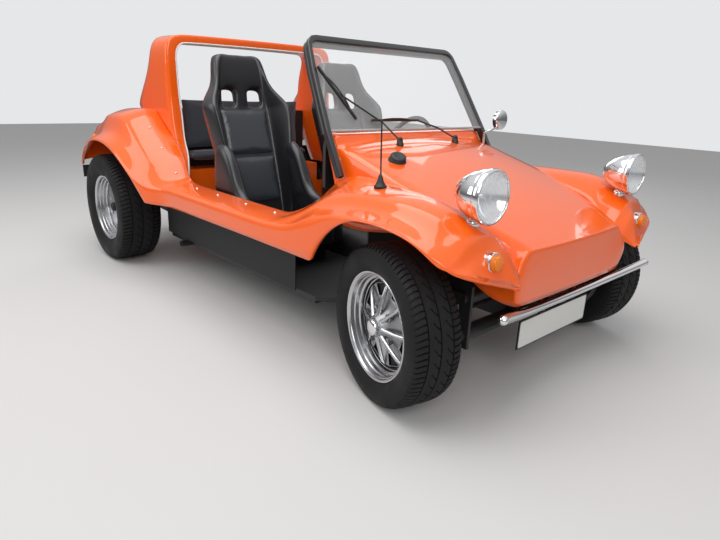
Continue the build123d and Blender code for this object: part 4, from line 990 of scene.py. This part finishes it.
seat_forms = (
    ("back", seat_shell(), seat_black, 2, False),
    ("bolster_in", thigh_bolster(1), seat_black, 2, False),
    ("bolster_out", thigh_bolster(-1), seat_black, 2, False),
    ("pad_high", pillow(lambda u, v, w: on_back(u, 521 + v, 45 - 0.07 * v + w), 152, 131, 18, pull=0.015),
     seat_grey, 1, True),
    ("pad_low", pillow(lambda u, v, w: on_back(u, 255 + v, 57 - 0.02 * v + w), 152, 134, 18, pull=0.015),
     seat_grey, 1, True),
    ("cushion", pillow(lambda u, v, w: at(seat_x + 285 + v, u, seat_z + 74 + w + 0.06 * v), 188, 205, 46),
     seat_grey, 1, True),
    ("lip", pillow(lambda u, v, w: at(seat_x + 482 + w, u, seat_z + 62 + v), 192, 58, 20),
     seat_black, 1, True),
)
for form, mesh, material, levels, sewn in seat_forms:
    first = pad_object("seat_" + form + "_right", mesh, material, levels, sewn)
    second = first.copy()
    second.name = "seat_" + form + "_left"
    second.data = first.data.copy()
    scene.collection.objects.link(second)
    first.data.transform(Matrix.Translation((0, -seat_y / 1000, 0)))
    second.data.transform(Matrix.Translation((0, seat_y / 1000, 0)))
    for piece, node in ((first, "seat_right"), (second, "seat_left")):
        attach(piece, "root")
        if form == "back":
            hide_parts(node)

# Rear bench
# A thin cushion on the step and an upright back in dark blue-grey cloth.
bench_cloth = plain_surface("bench_cloth", (0.040, 0.048, 0.062), 0.75, sockets=(("Sheen Weight", 0.3),))
relief(bench_cloth, "Noise", 500, 0.3, 0.0005)
bench_cushion = pad_object("bench_cushion", pillow(
    lambda u, v, w: at(-2080 + v, u, 686 + w), 448, 70, 20, pull=0.02), bench_cloth, cap=0.010, voxel=0.008)
bench_back = pad_object("bench_back", pillow(
    lambda u, v, w: at(-2139 + w, u, 877 + v), 448, 158, 22, pull=0.02), bench_cloth, cap=0.010, voxel=0.008)
for piece, node in ((bench_cushion, "rear_seat_cushion"), (bench_back, "rear_seat_back")):
    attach(piece, "root")
    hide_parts(node)

# Headlamps
# Chrome bullet bowls on ball stalks, each with a bright rim, a silvered reflector, a bulb and clear
# ribbed glass.
lamp_glass = plain_surface("lamp_glass", (0.85, 0.88, 0.90), 0.04, sockets=(("Alpha", 0.30),))
relief(lamp_glass, "Wave", 48, 0.6, 0.002, bands="Y")
reflector = plain_surface("reflector", (0.85, 0.86, 0.88), 0.12, metallic=1.0)
ahead = Vector((1, 0, 0))
bowl_profile = ((-150, 0), (-148, 14), (-140, 30), (-124, 48), (-98, 67), (-66, 81), (-38, 87.5), (-25, 88),
                (-24, 90), (-20, 92.5), (-8, 93), (-1, 92), (2, 89), (1.5, 86), (-1, 84.5), (-6, 84),
                (-24, 70), (-40, 50), (-50, 28), (-54, 0))
glass_profile = ((-2, 84.5), (3, 80), (8, 66), (12.5, 44), (15, 22), (15.8, 0))
stalk_profile = ((700, 0), (700, 16), (730, 24), (738, 25), (744, 23), (748, 17), (756, 15), (764, 18),
                 (772, 12))


def milli(profile):
    """A profile in metres, from one in millimetres."""
    return [(d / 1000, r / 1000) for d, r in profile]


def turned(name, profile, foot, axis, material, steps=48, sharp=35):
    """A turned piece on any axis, from its profile of (along, radius) points."""
    axis = axis.normalized()
    return spun_piece(name, profile, foot, axis, material, steps, sharp,
                      axis.cross(axis.orthogonal().normalized()))


bulb_profile = ((-52, 7), (-30, 8), (-14, 6), (-12, 0))
# Columns: part, profile, material, slot, CAD nodes that the left one stands for
lamp_parts = (
    ("bowl", bowl_profile[:16], chrome, "chrome", ["headlamp_bowls"]),
    ("dish", bowl_profile[15:], reflector, "chrome", []),
    ("bulb", bulb_profile, reflector, "chrome", []),
    ("glass", glass_profile, lamp_glass, "lamp_glass", ["headlamp_lenses"]),
)
for end, side in ends:
    for part, profile, material, slot, lamp_nodes in lamp_parts:
        piece = spun_piece("headlamp_%s_%s" % (part, end), milli(profile), at(307, side * 542, 809), ahead,
                           material)
        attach(piece, "root")
        if side > 0 and lamp_nodes:
            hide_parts(*lamp_nodes)
    foot = turned("headlamp_foot_" + end, milli(stalk_profile), at(240, side * 550, -22), Vector((0, 0, 1)),
                  chrome)
    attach(foot, "root")

# Front signals
# Round lamps with a chrome bezel and a stepped amber lens.
amber = plain_surface("amber_lens", (0.80, 0.20, 0.008), 0.12, sockets=(
    ("Subsurface Weight", 0.15), ("Subsurface Scale", 0.01)))
relief(amber, "Wave", 70, 0.5, 0.0015, bands="Z")
bezel_profile = ((-48, 0), (-48, 35), (-10, 35), (-4, 36), (1, 35.5), (3, 33), (3, 30.5), (-2, 30))
lens_profile = ((-2, 30), (4, 29.5), (11, 28.5), (12, 26), (19, 24.5), (20, 22), (24, 18), (26, 10), (26, 0))
for end, side in ends:
    for part, profile, material in (("bezel", bezel_profile, chrome), ("lens", lens_profile, amber)):
        piece = turned("signal_%s_%s" % (part, end), milli(profile), at(350, side * 560, 606), ahead,
                       material)
        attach(piece, "root")
        if side > 0 and part == "bezel":
            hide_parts("signal_lamps")


def pick_by_place(nodes, links, tests):
    """A mask that is 1 where every test of an object coordinate holds: (axis, sign, limit in metres)."""
    place = nodes.new("ShaderNodeTexCoord")
    split = nodes.new("ShaderNodeSeparateXYZ")
    links.new(place.outputs["Object"], split.inputs["Vector"])
    mask = None
    for axis, above, limit in tests:
        value = split.outputs[axis.strip("|")]
        if axis.startswith("|"):
            size = nodes.new("ShaderNodeMath")
            size.operation = "ABSOLUTE"
            links.new(value, size.inputs[0])
            value = size.outputs["Value"]
        test = nodes.new("ShaderNodeMath")
        test.operation = "GREATER_THAN" if above else "LESS_THAN"
        test.inputs[1].default_value = limit
        links.new(value, test.inputs[0])
        if mask is None:
            mask = test.outputs["Value"]
        else:
            both = nodes.new("ShaderNodeMath")
            both.operation = "MULTIPLY"
            links.new(mask, both.inputs[0])
            links.new(test.outputs["Value"], both.inputs[1])
            mask = both.outputs["Value"]
    return mask


def two_finishes(name, first, second, tests):
    """A material with one finish where the tests hold and another elsewhere.

    Each finish is its colour, roughness and metallic value.
    """
    material, nodes, links = new_material(name)
    shader = nodes["Principled BSDF"]
    mask = pick_by_place(nodes, links, tests)
    tint = nodes.new("ShaderNodeMix")
    tint.data_type = "RGBA"
    tint.inputs["A"].default_value = (*second[0], 1)
    tint.inputs["B"].default_value = (*first[0], 1)
    links.new(mask, tint.inputs["Factor"])
    links.new(tint.outputs["Result"], shader.inputs["Base Color"])
    for slot, k in (("Roughness", 1), ("Metallic", 2)):
        value = nodes.new("ShaderNodeMix")
        value.inputs["A"].default_value = second[k]
        value.inputs["B"].default_value = first[k]
        links.new(mask, value.inputs["Factor"])
        links.new(value.outputs["Result"], shader.inputs[slot])
    return material


# Front bumper
# A bent chrome tube with domed ends on two black stays.
node_material("front_bumper", two_finishes(
    "bumper_chrome", ((0.80, 0.80, 0.81), 0.08, 1.0), ((0.015, 0.015, 0.016), 0.4, 0.0),
    (("X", True, line_x + 0.300),)))
dome_profile = ((-3, 17.2), (0, 17.2), (5, 16), (10, 12), (13, 6), (14, 0))
for end, side in ends:
    dome = turned("bumper_end_" + end, milli(dome_profile), at(407, side * 560, 423),
                  Vector((0.062, side * 0.260, 0.051)), chrome, 32)
    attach(dome, "root")

# Number plates
# Blank reflective plates with a pressed rim, in black holders.
node_material("number_plates", plain_surface("holder_black", (0.012, 0.012, 0.013), 0.45))
plate_white = plain_surface("plate_white", (0.66, 0.66, 0.63), 0.28)
for name, x, z, heading in (("front_plate", 301.5, 245, 1), ("rear_plate", -2867.8, 780, -1)):
    mesh = bmesh.new()
    bmesh.ops.create_grid(mesh, x_segments=1, y_segments=1, size=1)
    for vert in mesh.verts:
        vert.co = at(x, vert.co.x * 260, z + vert.co.y * 55)
    bmesh.ops.bevel(mesh, geom=mesh.verts[:], offset=0.010, segments=5, profile=0.5, affect="VERTICES",
                    material=-1)
    inset = bmesh.ops.inset_region(mesh, faces=mesh.faces[:], thickness=0.005)
    bmesh.ops.inset_region(mesh, faces=[f for f in mesh.faces if f not in inset["faces"]], thickness=0.002,
                           depth=-0.0012)
    bmesh.ops.recalc_face_normals(mesh, faces=mesh.faces[:])
    if mesh.faces[0].normal.x * heading < 0:
        bmesh.ops.reverse_faces(mesh, faces=mesh.faces[:])
    plate = finish_skin(mesh, name, plate_white, levels=0, thickness=0.0015)
    plate.data.shade_flat()
    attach(plate, "root")

# Mirror
# A round chrome mirror head on a bent chrome stalk, with the glass towards the driver.
node_material("mirror", chrome)
mirror_glass = plain_surface("mirror_glass", (0.55, 0.57, 0.60), 0.03, metallic=1.0)
face = turned("mirror_face", milli(((0, 0), (0, 48), (1.5, 48), (3, 51), (1, 53), (-4, 53))),
              at(-523.5, 650, 994), Vector((-1, 0, 0)), mirror_glass)
back = turned("mirror_back", milli(((-1, 52), (5, 50), (10, 42), (14, 26), (15, 0))), at(-505.5, 650, 994),
              ahead, chrome)
for piece in (face, back):
    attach(piece, "root")

# Aerial and fuel cap
# A black rubber cone with a thin rod, and a ribbed black screw cap.
trim_rubber = plain_surface("trim_rubber", (0.014, 0.014, 0.015), 0.5)
node_material("antenna", trim_rubber)
cone_profile = ((0, 0), (-2, 24), (6, 24), (10, 20), (22, 13), (40, 8), (46, 6), (50, 3))
cone = turned("aerial_foot", milli(cone_profile), at(-144, -610, 782), Vector((-0.03, -0.01, 1)),
              trim_rubber)
tip = turned("aerial_tip", milli(((-5, 3), (0, 4.5), (5, 3), (6, 0))), at(-150, -612, 1018),
             Vector((0, 0, 1)), trim_rubber, 16)
node_material("fuel_cap", trim_rubber)
cap_foot = at(-326, -346, 826)
cap_axis = (at(-304, -355, 868) - cap_foot).normalized()
cap_profile = ((0.018, 0.0375), (0.020, 0.039), (0.026, 0.0385), (0.028, 0.0335), (0.046, 0.0325),
               (0.0495, 0.0295), (0.0505, 0.020), (0.0490, 0.016), (0.0495, 0.0))
cap_mesh = bmesh.new()
swept(cap_mesh, cap_profile, [2 * pi * k / 96 for k in range(97)], cap_foot, cap_axis,
      lambda i, j: 0.0013 if i % 4 in (1, 2) and j in (3, 4) else 0,
      cap_axis.cross(cap_axis.orthogonal().normalized()))
clean_mesh(cap_mesh)
cap = finish_skin(cap_mesh, "fuel_cap_ribs", trim_rubber, levels=0, thickness=None)
for piece in (cone, tip, cap):
    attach(piece, "root")

# Wipers
# Satin black arms and blades as modelled, with a rubber lip under each blade and a cap on each pivot.
node_material("wipers", plain_surface("wiper_black", (0.012, 0.012, 0.013), 0.3))
pivot_profile = ((-8, 17), (0, 17), (5, 15), (26, 12), (30, 9), (32, 0))
wiper_blades = (((-680, -492, 1214), (-556, -369, 1002)), ((-553, -281, 997), (-552, 23, 995)))
for number, (high, low) in enumerate(wiper_blades):
    top, bottom = at(*high), at(*low)
    run = bottom - top
    thick = rake_out.cross(run).normalized() * 0.0015
    lip = bmesh.new()
    rows = []
    for share in (0, 0.5, 1):
        spot = top + run * share
        rows.append([spot + rake_out * -0.004, spot + rake_out * -0.012 + thick,
                     spot + rake_out * -0.012 - thick, spot + rake_out * -0.004])
    surface(lip, rows)
    lip_piece = finish_skin(lip, "wiper_lip_%d" % number, trim_rubber, levels=0, thickness=None)
    bow = ((0.22, 0.004), (0.30, 0.011), (0.5, 0.015), (0.70, 0.011), (0.78, 0.004))
    bridge = tube("wiper_bridge_%d" % number, [top + run * share + rake_out * rise for share, rise in bow],
                  0.0035, trim_rubber)
    pivot = turned("wiper_pivot_%d" % number, milli(pivot_profile), at(-453, 196 if number else -196, 897),
                   Vector((-0.15, 0, 1)), trim_rubber, 32)
    for piece in (lip_piece, bridge, pivot):
        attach(piece, "root")

# Studs and side markers
# Chrome press studs along the cockpit edge for a cover, and a round marker on each rear wing.
stud_spots = ((-2020, 700, 868), (-1869, 700, 764), (-1701, 700, 640), (-1450, 700, 590), (-1223, 700, 590),
              (-952, 700, 591), (-708, 700, 594))
for end, side in ends:
    heads = []
    for x, y, z in stud_spots:
        head = bmesh.new()
        bmesh.ops.create_uvsphere(head, u_segments=14, v_segments=8, radius=0.0075)
        bmesh.ops.scale(head, vec=(1, 1, 0.6), verts=head.verts[:])
        bmesh.ops.translate(head, vec=at(x, side * y, z + 1), verts=head.verts[:])
        heads.append(head)
    studs = join_pieces("studs_" + end, heads, chrome)
    marker = turned("marker_" + end,
                    milli(((-6, 20), (2, 20), (5, 17), (6, 15), (9, 13), (11, 7), (12, 0))),
                    at(-2715, side * 807, 762), Vector((-0.22, side * 0.87, 0.44)), amber, 32)
    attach(studs, "root")
    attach(marker, "root")

# Mud flaps
# Black ribbed rubber flaps behind the rear wheels.
flap_rubber = plain_surface("flap_rubber", (0.016, 0.016, 0.017), 0.5)
relief(flap_rubber, "Wave", 30, 0.5, 0.002, bands="Y")
node_material("mud_flaps", flap_rubber)

# Tub, floor and running gear
# The moulded tub is black outside and in, apart from its orange step; the black of its sides under the sills
# is partly painted shade under the body, beside the black frame rails. The steel below is black.
node_material("inner_tub", two_finishes(
    "tub", (orange, 0.3, 0.0), ((0.010, 0.010, 0.011), 0.6, 0.0),
    (("X", False, line_x - 1.600), ("|Y|", False, 0.625), ("Z", False, 0.602), ("Z", True, 0.240))))
chassis_black = plain_surface("chassis_black", (0.014, 0.014, 0.015), 0.42)
for name in ("bulkhead", "floor_pan", "front_axle", "front_suspension", "steering_column", "rear_suspension",
             "tie_rods"):
    node_material(name, chassis_black)
cast_alloy = plain_surface("cast_alloy", (0.30, 0.30, 0.29), 0.5, metallic=0.7)
relief(cast_alloy, "Noise", 300, 0.3, 0.0008)
for name in ("gearbox", "engine", "knuckle_left", "knuckle_right"):
    node_material(name, cast_alloy)
node_material("fan_shroud", black_steel)
node_material("exhaust", plain_surface("exhaust_steel", (0.20, 0.18, 0.17), 0.45, metallic=0.9))
node_material("tail_lamps", plain_surface("red_lens", (0.45, 0.008, 0.006), 0.12, coat=0.8))
node_material("dashboard", leatherette("dash_black", (0.014, 0.014, 0.015), 0.42))
node_material("steering_wheel", leatherette("wheel_grip", (0.012, 0.012, 0.013), 0.35, 700))
node_material("levers", two_finishes(
    "lever_steel", ((0.014, 0.014, 0.015), 0.3, 0.0), ((0.55, 0.55, 0.56), 0.2, 1.0), (("Z", True, 0.632),)))
